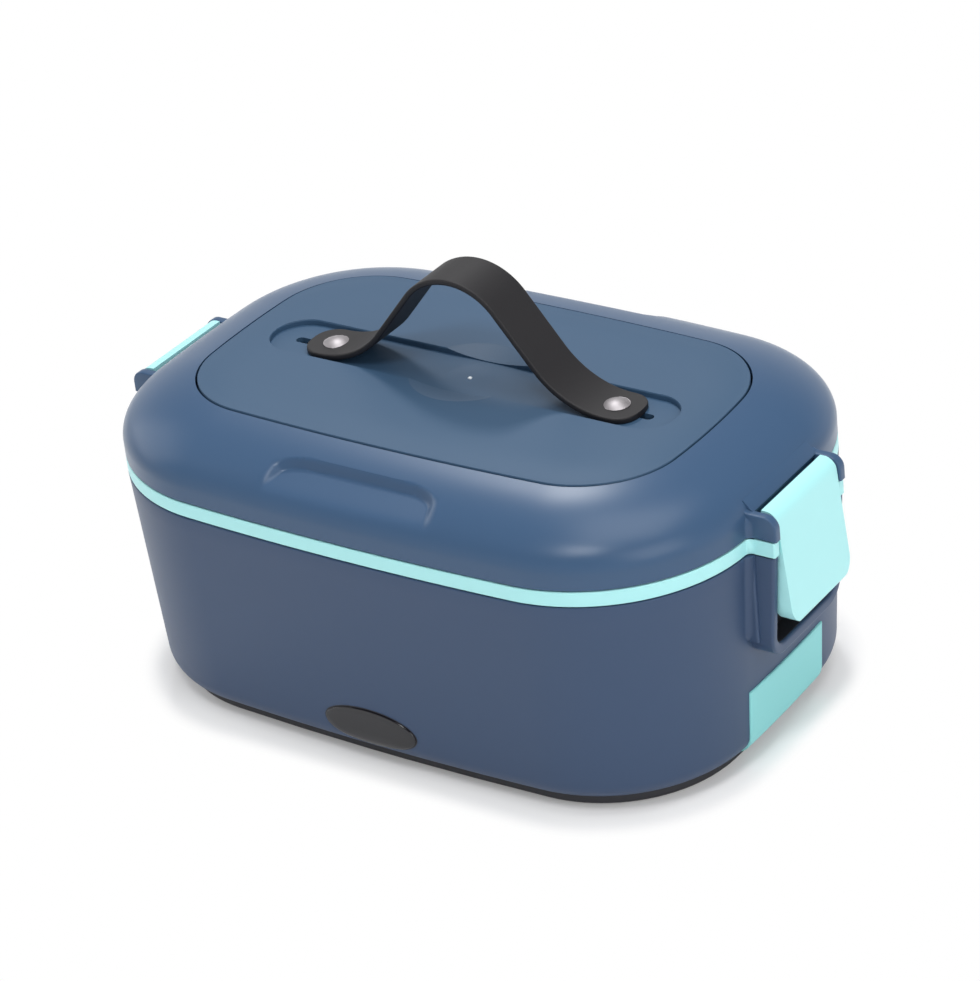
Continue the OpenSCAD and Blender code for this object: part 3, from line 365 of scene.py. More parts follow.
# Polypropylene moulded in a finely spark-eroded tool: a soft satin sheen with no clear reflections.
navy_polypropylene = finish_of("satin navy polypropylene", "#394c69", 0.42, grain=0.05,
                               Specular_IOR_Level=0.3)
dress(shell, navy_polypropylene, "body", "shell_plastic", "outer_shell")

# ---- Bottom cover, feet and their screws ----
# A black ABS pan closes the base, held by six screws in cups, and stands on four rubber pads.
# It shows as a dark strip set back under the shell's lower edge.


def softened(node, width, body, slot, material, sharp=35):
    """A copy of a solid's own mesh with its flat faces made whole, its edges broken by a bevel of the width
    in millimetres, and a finish."""
    piece = placed(node + "_finished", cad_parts[node].data.copy())
    work = bmesh.new()
    work.from_mesh(piece.data)
    bmesh.ops.remove_doubles(work, verts=work.verts, dist=2e-6)
    bmesh.ops.dissolve_limit(work, angle_limit=math.radians(0.6), verts=work.verts, edges=work.edges)
    work.to_mesh(piece.data)
    work.free()
    for name in list(piece.data.attributes.keys()):
        if name in ("custom_normal", "sharp_edge"):
            piece.data.attributes.remove(piece.data.attributes[name])
    piece.data.shade_smooth()
    piece.data.set_sharp_from_angle(angle=math.radians(sharp))
    if width:
        bevel = piece.modifiers.new("broken edges", "BEVEL")
        bevel.width = width * MM
        bevel.segments = 2
        bevel.limit_method = "ANGLE"
        bevel.angle_limit = math.radians(sharp)
        bevel.use_clamp_overlap = True
        bevel.harden_normals = True
    dress(piece, material, body, slot, node)
    return piece


# ABS with a fine grain is dark grey where it catches light. Rubber has hardly any shine, and zinc plating
# gives bright but blurred reflections.
# The same black finish is painted shade on the sheet in each latch pocket and on the ring round the lens.
black_abs_and_painted_shade = finish_of("black ABS and painted shade", "#26262c", 0.5, grain=0.05)
rubber = finish_of("black rubber", "#1f1e21", 0.8)
zinc_steel = finish_of("zinc plated steel", "#b9bcc2", 0.35, metallic=1.0)
# The pocket's sheet takes the black finish as painted shade.
dress(pocket_shade_sheet, black_abs_and_painted_shade, "body", "black_plastic")
softened("bottom_cover", 0.2, "body", "black_plastic", black_abs_and_painted_shade)
softened("rubber_feet", 0.2, "body", "rubber", rubber)
softened("base_screws", 0, "body", "screw_steel", zinc_steel)

# ---- Tub liner ----
# The liner is a second, mint polypropylene moulding. Its rim lies between shell and lid as a coloured band
# and grows out to the guards' cheeks at both ends. Its tub holds the heating plate in a hole in the floor.

BAND_LOW, BAND_HIGH = 80.9, 86.1
STEP_INSET, LEDGE_INSET = 7.0, 13.6
LEDGE_Z = BAND_HIGH - 4.1
TUB_FLOOR = 22.0
LINER_WALL = 2.0
PLATE_LENGTH, PLATE_WIDTH = 149.0, 83.0


def tub_profile(inset, top, floor, radius, lean=3.0):
    """A tub's line from its top, leaning in by lean, then round a quarter circle to the floor."""
    turn = arc((inset + lean + radius, floor + radius), radius, 180, 270, 10)
    return np.concatenate([[[inset, top]], turn])


RIM = RAY_START + RAY_REACH[:, None] * RAY_HEADING


def loop_towards(points, far, distance):
    """A loop round the middle that has a point in the direction of each given one, where a signed distance
    is nought. Each is found by halving the way from the middle to a point far out."""
    aim = points / np.linalg.norm(points, axis=1)[:, None]
    low, high = np.zeros(len(aim)), np.full(len(aim), far)
    for _ in range(40):
        mid = (low + high) / 2
        away = distance(np.abs(aim) * mid[:, None])
        low, high = np.where(away < 0, mid, low), np.where(away < 0, high, mid)
    return aim * low[:, None]


def rounded_rectangle(half_length, half_width, radius):
    """A rounded rectangle with a point towards each point of the rim."""
    def distance(q):
        q = q - [half_length - radius, half_width - radius]
        return np.linalg.norm(np.maximum(q, 0), axis=1) + np.minimum(q.max(1), 0) - radius

    return loop_towards(RIM, half_length * 2, distance)


def at_height(loop, z):
    """A flat loop of points raised to a height."""
    return np.concatenate([loop, np.full((len(loop), 1), z)], 1)


HOLE_PLAY, HOLE_CORNER = 0.4, 19.9
hole = rounded_rectangle(PLATE_LENGTH / 2 + HOLE_PLAY, PLATE_WIDTH / 2 + HOLE_PLAY, HOLE_CORNER)
rim_edge = arc((0.5, BAND_HIGH - 0.5), 0.5, 180, 90, 4)
step_line = [[STEP_INSET - 0.4, BAND_HIGH], [STEP_INSET, BAND_HIGH - 0.4], [STEP_INSET, LEDGE_Z],
             [LEDGE_INSET, LEDGE_Z]]
outer_line = np.concatenate([[[2.2, BAND_LOW], [0.3, BAND_LOW], [0, BAND_LOW + 0.3]], rim_edge, step_line,
                             tub_profile(LEDGE_INSET + 0.4, LEDGE_Z - 0.6, TUB_FLOOR, 10)])
under_step = [[STEP_INSET - LINER_WALL, LEDGE_Z - 2.4], [STEP_INSET - LINER_WALL, BAND_HIGH - LINER_WALL],
              [2.2, BAND_HIGH - LINER_WALL]]
tub_outside = tub_profile(LEDGE_INSET - 1.6, LEDGE_Z - 2.4, TUB_FLOOR - LINER_WALL, 12)
inner_line = np.concatenate([tub_outside[::-1], under_step])
rows = np.concatenate([along_rim(outer_line), at_height(hole, TUB_FLOOR)[None],
                       at_height(hole, TUB_FLOOR - LINER_WALL)[None], along_rim(inner_line)])
liner_ring = (rows, quads(len(rows), rows.shape[1], True, True))


def tab_part():
    """The band's tab on one cheek of one guard."""
    tab_y = np.array([EAR_IN, EAR_OUT])
    x_in, x_out, edge = HALF_LENGTH - 1.5, HALF_LENGTH + 8.8, 0.4
    outline = np.array([[x_in, tab_y[0]], [x_out - edge, tab_y[0]], [x_out, tab_y[0] + edge],
                        [x_out, tab_y[1] - edge], [x_out - edge, tab_y[1]], [x_in, tab_y[1]]])
    levels = np.array([BAND_LOW, BAND_LOW + 0.2, BAND_HIGH - 0.2, BAND_HIGH])
    return capped(np.stack([at_height(outline, z) for z in levels]))


band_z = np.array([BAND_LOW, BAND_LOW + 0.3, BAND_HIGH - 0.4, BAND_HIGH])
band_wall = end_wall_x(SHELL_TOP, EAR_OUT + 2) - np.array([0.25, 0, 0, 0.3])
band_flare = flare_part(band_z, band_wall, EAR_OUT, np.full(4, ROOT_R))
CATCH_IN, CATCH_OUT, CATCH_HALF, CATCH_HIGH = 114.5, 119.6, 14, 2.6
catch_outline = np.array([[CATCH_IN, -CATCH_HALF], [CATCH_OUT, -CATCH_HALF], [CATCH_OUT, CATCH_HALF],
                          [CATCH_IN, CATCH_HALF]])
catch = capped(np.stack([at_height(catch_outline, z) for z in (BAND_LOW, BAND_LOW + CATCH_HIGH)]))
liner_parts = [liner_ring, catch, mirrored(catch, 0)] + both_ways(tab_part()) + both_ways(band_flare)
liner = mesh_piece("tub_liner", liner_parts)
# The same satin polypropylene in mint. A little light goes into it and comes out paler.
mint_polypropylene = finish_of("satin mint polypropylene", "#abe8ea", 0.38, grain=0.04)
dress(liner, mint_polypropylene, "body", "mint_plastic", "tub_liner")

# ---- Heating plate and what is fixed under it ----
# A drawn aluminium plate closes the tub's floor on a silicone gasket. A bar clamps a PTC heater against it,
# with a thermostat and a thermal fuse beside it. Sleeved leads wire them to the inlets.

# Drawn aluminium has a soft grey sheen. The silicone is an even white, the fired ceramic off-white and matt,
# and the sleeves smooth with a mild shine.
drawn_aluminium = finish_of("drawn aluminium", "#b9bcc2", 0.38, metallic=1.0, grain=0.05)
silicone = finish_of("white silicone rubber", "#e9e9e6", 0.55)
ceramic = finish_of("heater ceramic", "#d8d4c8", 0.7)
red_sleeve = finish_of("red silicone sleeve", "#a83a33", 0.45)
under_plate = (("heating_plate", "plate_aluminium", drawn_aluminium), ("plate_seal", "silicone", silicone),
               ("plate_screws", "screw_steel", zinc_steel), ("ptc_heater", "heater_ceramic", ceramic),
               ("heater_bar", "plate_aluminium", drawn_aluminium), ("bar_screws", "screw_steel", zinc_steel),
               ("thermostat", "thermostat_steel", zinc_steel), ("thermal_fuse", "fuse_body", ceramic),
               ("heater_wires", "wire_sleeve", red_sleeve), ("led_wires", "wire_sleeve", red_sleeve))
for node, slot, stuff in under_plate:
    softened(node, 0, "body", slot, stuff)

# ---- Inlets and their cover ----
# A mains inlet and a round low-voltage inlet sit behind the end wall. A mint silicone flap with two plugs
# covers them, lies in a shallow recess and follows the wall's turn under the base.

softened("mains_inlet", 0.2, "body", "black_plastic", black_abs_and_painted_shade)
softened("dc_inlet", 0.2, "body", "black_plastic", black_abs_and_painted_shade)
for node in ("mains_pins", "dc_pin", "inlet_screws"):
    softened(node, 0, "body", "screw_steel", zinc_steel)

COVER_HALF, COVER_TOP, COVER_PROUD = 23.5, 29.0, 0.7


def cover_skin(out, half, top, low_angle):
    """The flap's face at a distance from the wall: rows from top to bottom, each bowed like the end wall."""
    columns = 41
    line = wall_profile(out, top, low_angle)
    y = np.linspace(-half, half, columns)
    reach = END_R - line[:, :1]
    x = HALF_LENGTH - END_R + np.sqrt(reach**2 - y[None] ** 2)
    return np.stack([x, np.broadcast_to(y, x.shape), np.repeat(line[:, 1:], columns, 1)], 2)


def plate_between(back, *skins):
    """A closed plate from a back grid and one or more front grids of the same size, joined round their edges
    from each layer to the next."""
    layers = np.stack([back, *skins])
    _, rows, columns, _ = layers.shape
    size = rows * columns
    grid = np.arange(size).reshape(rows, columns)
    edge = np.concatenate([grid[0], grid[1:, -1], grid[-1, -2::-1], grid[-2:0:-1, 0]])
    faces = quads(rows, columns, False, False) + quads(rows, columns, False, False, size * (len(layers) - 1))
    for k in range(len(layers) - 1):
        a, b = edge + k * size, edge + (k + 1) * size
        faces += np.stack([a, np.roll(a, -1), np.roll(b, -1), b], 1).tolist()
    return layers.reshape(-1, 3), faces


cover_layers = ((-0.7, 0, 62), (COVER_PROUD - 0.4, 0, 62), (COVER_PROUD - 0.12, 0.15, 61.2),
                (COVER_PROUD, 0.55, 59))
cover_skins = [cover_skin(out, COVER_HALF - less, COVER_TOP - less, low) for out, less, low in cover_layers]
cover = mesh_piece("inlet_cover", [plate_between(*cover_skins)], 50)
# Liquid silicone rubber, moulded matt and softer than the hard mint parts. Its colour is a shade deeper:
# partly the silicone's own, partly painted shade from the guard's bar above it.
mint_silicone = finish_of("matt mint silicone", "#8cd5d6", 0.6, grain=0.04)
dress(cover, mint_silicone, "inlet_flap", "mint_silicone", "inlet_cover")

# ---- Indicator lens and light board ----
# A smoked polycarbonate oval lies flush in the front wall with a hairline gap, over a small board with two
# LEDs that light up through it.

LENS_Z, LENS_HALF, LENS_RISE = 15.6, 17.8, 7.0


def lens_skin(out, half_length):
    """The lens's oval on the front wall as rings of points, each with a half length and moved outwards by
    out. Its height changes as its length does, so that the rim stays equally broad."""
    t = np.linspace(0, 2 * math.pi, 97)[:-1]
    x = np.multiply.outer(half_length, np.cos(t))
    z = LENS_Z + np.multiply.outer(half_length - LENS_HALF + LENS_RISE, np.sin(t))
    below = np.clip((TURN[1] - z) / BASE_FILLET, 0, 0.99)
    inset = np.where(z > TURN[1], wall_inset(z), TURN[0] - BASE_FILLET * np.sqrt(1 - below**2))
    reach = SIDE_R - inset + np.asarray(out)[:, None]
    return np.stack([x, -(HALF_WIDTH - SIDE_R + np.sqrt(reach**2 - x**2)), z], 2)


lens_size = np.array([LENS_HALF, LENS_HALF, LENS_HALF - 0.12, LENS_HALF - 0.5, 15.5, 13, 11.6])
lens_rows = lens_skin(np.array([-1.5, 0.22, 0.5, 0.62, 0.66, 0.68, 0.68]), lens_size)
lens = mesh_piece("indicator_lens", [capped(lens_rows)], 60)
# The hairline gap round the lens is painted shade: a thin black ring laid on the wall round the lens's edge.
gap_size = np.array([LENS_HALF + 0.45, LENS_HALF + 0.45, LENS_HALF - 0.3, LENS_HALF - 0.3])
gap_rows = lens_skin(np.array([-0.6, 0.04, 0.04, -0.6]), gap_size)
lens_gap_shade_ring = mesh_piece("lens_gap_shade_ring", [(gap_rows, quads(4, 96, True, True))])
# Polished polycarbonate: nearly black, with sharp reflections.
smoked_polycarbonate = finish_of("smoked polycarbonate", "#0c0b12", 0.08, Specular_IOR_Level=0.6)
dress(lens, smoked_polycarbonate, "body", "lens_plastic", "indicator_lens")
# The gap's ring is painted shade in the black finish.
dress(lens_gap_shade_ring, black_abs_and_painted_shade, "body", "black_plastic")
# The board's green lacquer is half matt, and the LEDs' epoxy is glossy.
fibreglass = finish_of("green printed circuit board", "#2f6b46", 0.45)
red_led = finish_of("red LED epoxy", "#d85545", 0.2)
softened("led_board", 0, "body", "board_green", fibreglass)
softened("leds", 0, "body", "led_plastic", red_led)
softened("led_screws", 0, "body", "screw_steel", zinc_steel)

# ---- Food bowl and divider tray ----
# The bowl is pressed from 0.8 mm stainless sheet with a flat flange that hangs on the liner's ledge.
# The tray is translucent polypropylene and hangs on the bowl's flange at the inlet end.

BOWL_INSET, BOWL_FLOOR, BOWL_SHEET = 14.8, 22.9, 0.8
FLANGE_Z = LEDGE_Z + 0.5
FLANGE_EDGE, BOWL_CORNER = STEP_INSET + 1.2, 13
bowl_outside = np.concatenate([[[FLANGE_EDGE, FLANGE_Z]],
                               tub_profile(BOWL_INSET, FLANGE_Z, BOWL_FLOOR, BOWL_CORNER)])
flange_top = [[FLANGE_EDGE, FLANGE_Z + BOWL_SHEET], [BOWL_INSET - 0.4, FLANGE_Z + BOWL_SHEET]]
bowl_inside = tub_profile(BOWL_INSET + BOWL_SHEET, FLANGE_Z, BOWL_FLOOR + BOWL_SHEET,
                          BOWL_CORNER - BOWL_SHEET)
bowl_loop = np.concatenate([bowl_outside[::-1], flange_top, bowl_inside])
bowl = mesh_piece("food_bowl", [capped(along_rim(bowl_loop))])
# Brushing breaks the steel's mirror, so reflections run soft. The tray's natural polypropylene is milky, and
# is drawn without letting light through.
stainless = finish_of("brushed stainless steel", "#c9ccd0", 0.25, metallic=1.0, grain=0.06)
dress(bowl, stainless, "bowl", "bowl_steel", "food_bowl")
clear_polypropylene = finish_of("translucent polypropylene", "#dcecee", 0.35)
softened("divider_tray", 0.3, "tray", "clear_plastic", clear_polypropylene)

# ---- Lid ----
# The lid is a domed polypropylene moulding. It has an upright edge, a broad rounded crown, a thumb rest cut
# into the front and the rear, and at each end two ears that carry a latch, with a lip between them.

LID_LOW = 86.5
CROWN_LOW = LID_LOW + 4.9
CROWN_RISE, CROWN_WIDTH = 17.8, 42.0
LID_TOP = CROWN_LOW + CROWN_RISE
PLATE_INSET, PLATE_SIDE_INSET, PLATE_END_R, PLATE_CORNER_MORE = 25.0, 26.5, 290.0, 1.3
SEAM_LEDGE = 0.28


def crown_height(inset):
    """Height of the lid's outer face: a quarter of an ellipse from the upright edge to the flat top."""
    short_of_top = np.clip(CROWN_WIDTH - inset, 0, None) / CROWN_WIDTH
    return CROWN_LOW + CROWN_RISE * np.sqrt(np.clip(1 - short_of_top**2, 0, 1))


def oval_inset(x, y, side_y, side_r, end_x, end_r, corner_at, corner_r):
    """How far inside an oval of two bowed sides, two bowed ends and four corner arcs a point lies: the radius
    of the arc that it faces, less its distance from that arc's centre."""
    x, y = np.abs(x), np.abs(y)
    side = side_r - np.hypot(x, y - side_y)
    end = end_r - np.hypot(x - end_x, y)
    corner = corner_r - np.hypot(x - corner_at[0], y - corner_at[1])
    past_side = x * (corner_at[1] - side_y) > corner_at[0] * (y - side_y)
    past_end = y * (corner_at[0] - end_x) > corner_at[1] * (x - end_x)
    return np.where(past_side & past_end, corner, np.minimum(side, end))


def rim_inset(x, y):
    """Distance in from the rim of any point of the plan."""
    return oval_inset(x, y, HALF_WIDTH - SIDE_R, SIDE_R, HALF_LENGTH - END_R, END_R, (CORNER_X, CORNER_Y),
                      CORNER_R)


def smooth(t):
    """Eases from 0 to 1 as three t squared less two t cubed."""
    t = np.clip(t, 0, 1)
    return t * t * (3 - 2 * t)


REST_HALF, REST_IN, REST_DEPTH, REST_SLOPE = 28.5, 15.2, 3.2, 0.3
REST_FLARE, REST_CORNER, REST_CREASE = 5 / 16, 4.5, 0.5
STEP_WIDTH, SIDE_SOFTNESS = 1.7, 0.45


def thumb_rest(x, y, height):
    """Lowers the crown to a thumb rest's sloping shelf. It takes the lower of the two, less a log term that
    softens their crease, and fades back to the crown by the distance to a rounded rectangle, which is
    scaled down along the length, so that the sides are gentler steps than the back."""
    inset = HALF_WIDTH - np.abs(y)
    shelf = crown_height(np.array(REST_IN)) - REST_DEPTH - REST_SLOPE * (REST_IN - inset)
    lower = np.minimum(height, shelf)
    lower = lower - REST_CREASE * np.log1p(np.exp(-np.abs(height - shelf) / REST_CREASE))
    flare = REST_HALF + np.clip(REST_IN - inset, 0, None) * REST_FLARE
    q = np.stack([(np.abs(x) - flare) * SIDE_SOFTNESS, inset - REST_IN]) + REST_CORNER
    away = np.hypot(*np.maximum(q, 0)) + np.minimum(q.max(0), 0) - REST_CORNER
    return height + (lower - height) * smooth(0.5 - away / STEP_WIDTH)


def plate_outline(inset):
    """The plan of the top plate's seam: an offset of the rim whose ends bow more. Its corner arc touches the
    side's and the end's, so its centre is where circles of the differences of their radii cross."""
    half_l, half_w = HALF_LENGTH - PLATE_INSET, HALF_WIDTH - PLATE_SIDE_INSET
    side_r, corner_r = SIDE_R - PLATE_INSET, CORNER_R - PLATE_INSET + PLATE_CORNER_MORE
    side_at, end_at = np.array([0, half_w - side_r]), np.array([half_l - PLATE_END_R, 0])
    from_side, from_end = side_r - corner_r, PLATE_END_R - corner_r
    apart = np.linalg.norm(end_at - side_at)
    along = (from_side**2 - from_end**2 + apart**2) / (2 * apart)
    toward = (end_at - side_at) / apart
    off_line = math.sqrt(from_side**2 - along**2) * np.array([toward[1], -toward[0]])
    corner_at = side_at + along * toward + off_line

    def distance(q):
        return inset - oval_inset(*q.T, side_at[1], side_r, end_at[0], PLATE_END_R, corner_at, corner_r)

    return loop_towards(RIM * [half_l / HALF_LENGTH, half_w / HALF_WIDTH], half_l * 1.5, distance)


seam = plate_outline(-SEAM_LEDGE)
# The crown is steepest at the rim, so the rows stand closer together there.
CLOSE_TURN = 40
close_rows = 1 - np.cos(np.radians(np.linspace(0, CLOSE_TURN, 24)))
loft = np.concatenate([close_rows[1:-1], np.linspace(close_rows[-1], 1, 48)])
crown_plan = RIM[None] * (1 - loft[:, None, None]) + seam[None] * loft[:, None, None]
crown_inset = rim_inset(crown_plan[..., 0], crown_plan[..., 1])
crown_z = thumb_rest(crown_plan[..., 0], crown_plan[..., 1], crown_height(crown_inset))
crown_rows = np.concatenate([crown_plan, crown_z[..., None]], 2)
LID_WALL = 2.4
edge_rows = along_rim([[LID_WALL, LID_LOW + 1.2], [LID_WALL, LID_LOW], [0.3, LID_LOW], [0, LID_LOW + 0.3],
                       [0, LID_LOW + 2.6], [0, CROWN_LOW - 0.3]])
seam_rows = crown_rows[-1:] - [0, 0, 0.3]
inside_rows = along_rim([[5, LID_LOW + 2.75], [LID_WALL, LID_LOW + 2.7]])
lid_rows = np.concatenate([edge_rows, crown_rows, seam_rows, seam_rows - [0, 0, LID_WALL], inside_rows])
lid_skin = (lid_rows, quads(len(lid_rows), lid_rows.shape[1], True, True))

EAR_TOP = CROWN_LOW + 3.3
EAR_X = HALF_LENGTH + 9.5
EAR_CORNER = 4.2


def slab_part(outline, y_low, y_high, edge=0.6, steps=4):
    """A slab cut to an outline in X and Z, given anticlockwise, with all its edges rounded."""
    outline = np.asarray(outline, float)
    ahead, behind = np.roll(outline, -1, 0) - outline, outline - np.roll(outline, 1, 0)
    ahead, behind = (v / np.linalg.norm(v, axis=1)[:, None] for v in (ahead, behind))
    mid = ahead + behind
    mid /= np.linalg.norm(mid, axis=1)[:, None]
    inward = np.stack([-mid[:, 1], mid[:, 0]], 1) / np.clip((ahead * mid).sum(1), 0.5, 1)[:, None]
    t = np.radians(np.linspace(0, 90, steps + 1))
    in_from_side, back = edge * (1 - np.cos(t)), edge * (1 - np.sin(t))
    y = np.concatenate([y_low + in_from_side, y_high - in_from_side[::-1]])
    back = np.concatenate([back, back[::-1]])
    flat = outline[None] + back[:, None, None] * inward[None]
    return capped(np.stack([flat[..., 0], np.repeat(y[:, None], len(outline), 1), flat[..., 1]], 2))


neck = arc((HALF_LENGTH + 0.6, EAR_TOP + 3.4), 3.4, 270, 215, 6)
ear_outline = np.concatenate([[[HALF_LENGTH - 1.6, LID_LOW], [EAR_X, LID_LOW]],
                              arc((EAR_X - EAR_CORNER, EAR_TOP - EAR_CORNER), EAR_CORNER, 0, 90, 10), neck,
                              [[HALF_LENGTH - 3.4, EAR_TOP + 1.0], [HALF_LENGTH - 3.4, LID_LOW + 3]]])
ear = slab_part(ear_outline, EAR_IN, EAR_OUT, 0.5)
ear_z = np.array([LID_LOW, LID_LOW + 0.3, LID_LOW + 2.5, CROWN_LOW, CROWN_LOW + 1.0, CROWN_LOW + 2.0])
ear_wall = end_wall_x(SHELL_TOP, EAR_OUT + 2) - np.array([0.3, 0, 0, 0, 0.1, 0.4])
ear_flare = flare_part(ear_z, ear_wall, EAR_OUT, ROOT_R * np.array([1, 1, 1, 1, 0.75, 0.3]))
# The lip closes the crown down to the latch's top and leaves it room to swing.
lip_outline = np.array([[-2.2, 1], [0.2, 1.8], [0.6, 2.5], [0.7, 3.1], [0.5, 3.5], [-0.2, 4.0], [-1.0, 4.9],
                        [-2.2, 6], [-3, 6.6]])
lip = slab_part(lip_outline + [HALF_LENGTH, CROWN_LOW], -EAR_IN - 1, EAR_IN + 1, 0.1)
lid = mesh_piece("lid_shell", [lid_skin, lip, mirrored(lip, 0)] + both_ways(ear) + both_ways(ear_flare))
# The same satin polypropylene from a tool polished a little finer, so lamps show in it as soft spots.
# Its colour is painted a little lighter and bluer than the shell's navy: painted light on the upward-facing
# lid.
lid_polypropylene = finish_of("satin navy polypropylene of the lid", "#3c5675", 0.31, grain=0.05,
                              Specular_IOR_Level=0.3)
dress(lid, lid_polypropylene, "lid", "shell_plastic", "lid_shell")

# ---- Top plate ----
# A separate plate snaps into the crown and leaves a hairline seam. It has a long recess that the strap lies
# in, a slot for each rivet and a round finger dish under the strap.

PLATE_LOW = 105.2
RECESS_Z = LID_TOP - 2.0
RECESS_W, RECESS_L, RECESS_DRAFT = 23.0, 157.2, 0.7
SLOT_W, SLOT_IN, SLOT_OUT = 3.4, 49.5, 69.9
DISH_R, DISH_DEPTH = 20.0, 2.4


def stadium_on(loop, length, width):
    """A bar with round ends, with a point for each of a loop's at the same share of the way round, so that
    the two join without crossing: a quarter turn, a straight, a half turn, a straight, a quarter turn."""
    straight, radius = length - width, width / 2
    way_round = np.linspace(0, 1, 4001)
    s = way_round * (2 * straight + math.pi * width)
    quarter = math.pi * radius / 2
    marks = np.cumsum([quarter, straight, 2 * quarter])
    going, coming = (np.clip(s - mark, 0, straight) for mark in (marks[0], marks[2]))
    turned = (s - going - coming) / radius
    x = straight / 2 - (going - coming) + radius * np.cos(turned)
    y = radius * np.sin(turned)
    run = np.concatenate([[0], np.cumsum(np.linalg.norm(np.diff(loop, axis=0, append=loop[:1]), axis=1))])
    start = np.interp(0, loop[:40, 1], np.arange(40))
    at = (run[:-1] - np.interp(start, np.arange(len(run)), run)) / run[-1] % 1
    return np.stack([np.interp(at, way_round, x), np.interp(at, way_round, y)], 1)


PLATE_GAP = 0.4
plate_edge = plate_outline(PLATE_GAP)
recess_top = stadium_on(plate_edge, RECESS_L, RECESS_W)
recess_in = stadium_on(plate_edge, RECESS_L - RECESS_DRAFT, RECESS_W - RECESS_DRAFT)
straight = (RECESS_L - RECESS_W) / 2
spine_x = np.clip(recess_in[:, 0], -straight, straight)
spine_x = (spine_x + spine_x[(END_RAYS - 1 - np.arange(len(spine_x))) % len(spine_x)]) / 2
spine = np.stack([spine_x, 0 * spine_x], 1)
shares = 1 - (1 - np.linspace(0, 1, 40)) ** 1.35
plan = plate_edge[None] * (1 - shares[:, None, None]) + recess_top[None] * shares[:, None, None]
face_z = crown_height(rim_inset(plan[..., 0], plan[..., 1]))
face_z[0] -= 0.25
face = np.concatenate([plan, face_z[..., None]], 2)
face[1, :, :2] = plate_outline(PLATE_GAP + 0.2)
wall_top = at_height(recess_in * 0.35 + recess_top * 0.65, LID_TOP - 0.12)
wall_mid = at_height(recess_in * 0.85 + recess_top * 0.15, LID_TOP - 0.5)
plate_rows = np.stack([at_height(spine, PLATE_LOW), at_height(plate_edge, PLATE_LOW), *face, wall_top,
                       wall_mid, at_height(recess_in, RECESS_Z), at_height(spine, RECESS_Z)])
plate = mesh_piece("top_plate", [(plate_rows, quads(len(plate_rows), plate_rows.shape[1], False, True))])


def revolved(profile, centre, steps=64):
    """A turned piece: a profile of [radius, height] carried round an upright axis at a centre in the plan."""
    profile = np.asarray(profile, float)
    t = np.linspace(0, 2 * math.pi, steps + 1)[:-1]
    x = centre[0] + np.multiply.outer(profile[:, 0], np.cos(t))
    y = centre[1] + np.multiply.outer(profile[:, 0], np.sin(t))
    return capped(np.stack([x, y, np.repeat(profile[:, 1:], steps, 1)], 2))


def cut_from(piece, part):
    """Takes a closed part away from a piece, for good."""
    cutter = mesh_piece("cutter", [part])
    cut = piece.modifiers.new("cut", "BOOLEAN")
    cut.operation = "DIFFERENCE"
    cut.solver = "EXACT"
    cut.object = cutter
    piece.data = bpy.data.meshes.new_from_object(piece.evaluated_get(bpy.context.evaluated_depsgraph_get()))
    piece.modifiers.clear()
    bpy.data.objects.remove(cutter)


dish_ball = (DISH_R**2 + DISH_DEPTH**2) / (2 * DISH_DEPTH)
dish_r = np.concatenate([np.linspace(0.02, DISH_R, 25), [DISH_R + 0.2]])
dish_z = LID_TOP - DISH_DEPTH + dish_ball - np.sqrt(dish_ball**2 - dish_r**2)
dish_line = np.concatenate([np.stack([dish_r, dish_z], 1), [[dish_r[-1], LID_TOP + 2]]])
cut_from(plate, revolved(dish_line, (0, 0), 128))
for side in (-1, 1):
    t = np.radians(np.linspace(0, 360, 49)[:-1])
    to_end = np.sign(np.cos(t)) * (SLOT_OUT - SLOT_IN - SLOT_W) / 2
    x = side * (SLOT_IN + SLOT_OUT) / 2 + to_end + SLOT_W / 2 * np.cos(t)
    slot_loop = np.stack([x, SLOT_W / 2 * np.sin(t)], 1)
    cut_from(plate, capped(np.stack([at_height(slot_loop, z) for z in (PLATE_LOW - 2, LID_TOP)])))
plate.data.set_sharp_from_angle(angle=math.radians(9))
pip_line = np.array([[0.75, -0.2], [0.75, 0.25], [0.5, 0.45], [0.05, 0.5]]) + [0, LID_TOP - DISH_DEPTH]
pip = mesh_piece("moulding_pip", [revolved(pip_line, (0, 0), 24)])
# The plate comes from its own tool with a fine, even grain, and takes the light more evenly than the lid.
# Its colour is painted lighter than the shell's navy: painted light on the top of the box.
plate_polypropylene = finish_of("fine satin navy polypropylene", "#385470", 0.5, grain=0.04,
                                Specular_IOR_Level=0.3)
dress(plate, plate_polypropylene, "lid", "plate_plastic", "top_plate")
# The pip is left by the mould's gate. Its near-white colour is a painted highlight, a glint painted onto its
# smooth face.
gate_mark_painted_glint = finish_of("gate mark with painted glint", "#dfe6ec", 0.3)
dress(pip, gate_mark_painted_glint, "lid", "plate_plastic")

# ---- Lid's inner panel and seal ----
# A pale polypropylene panel closes the lid's underside. Its two ribs hold a silicone seal that meets the
# bowl's flange when the latches pull the lid down.

softened("lid_inner_panel", 0.2, "lid", "clear_plastic", clear_polypropylene)
softened("lid_seal", 0.15, "lid", "silicone", silicone)

# ---- Latches ----
# Each latch is a mint polypropylene hook moulded with two stubs. It turns in the lid's ears and snaps under
# the catch on the liner's rim.

for node, body in (("latch_left", "latch_l"), ("latch_right", "latch_r")):
    softened(node, 0.8, body, "mint_plastic", mint_polypropylene, 30)

# ---- Carry strap ----
# A flat strap of dark bonded leather, 18.5 mm wide and 2 mm thick. It arches up between two rivets.
# Pressed down, it flattens and its ends slide outwards, so each half bends between the strap's middle and its
# rivet.

STRAP_X, STRAP_HALF_WIDTH, STRAP_THICK = 1.6, 9.25, 2.0
RIVET_HALF = 54.7
STRAP_LOW = RECESS_Z + 0.1
STRAP_TOP = STRAP_LOW + STRAP_THICK
STRAP_RISE, CREST_R, SLOPE = 37.7, 22.5, 51.5
ARCH_HALF = RIVET_HALF + 1.8
STRAP_HALF = RIVET_HALF + 9.5


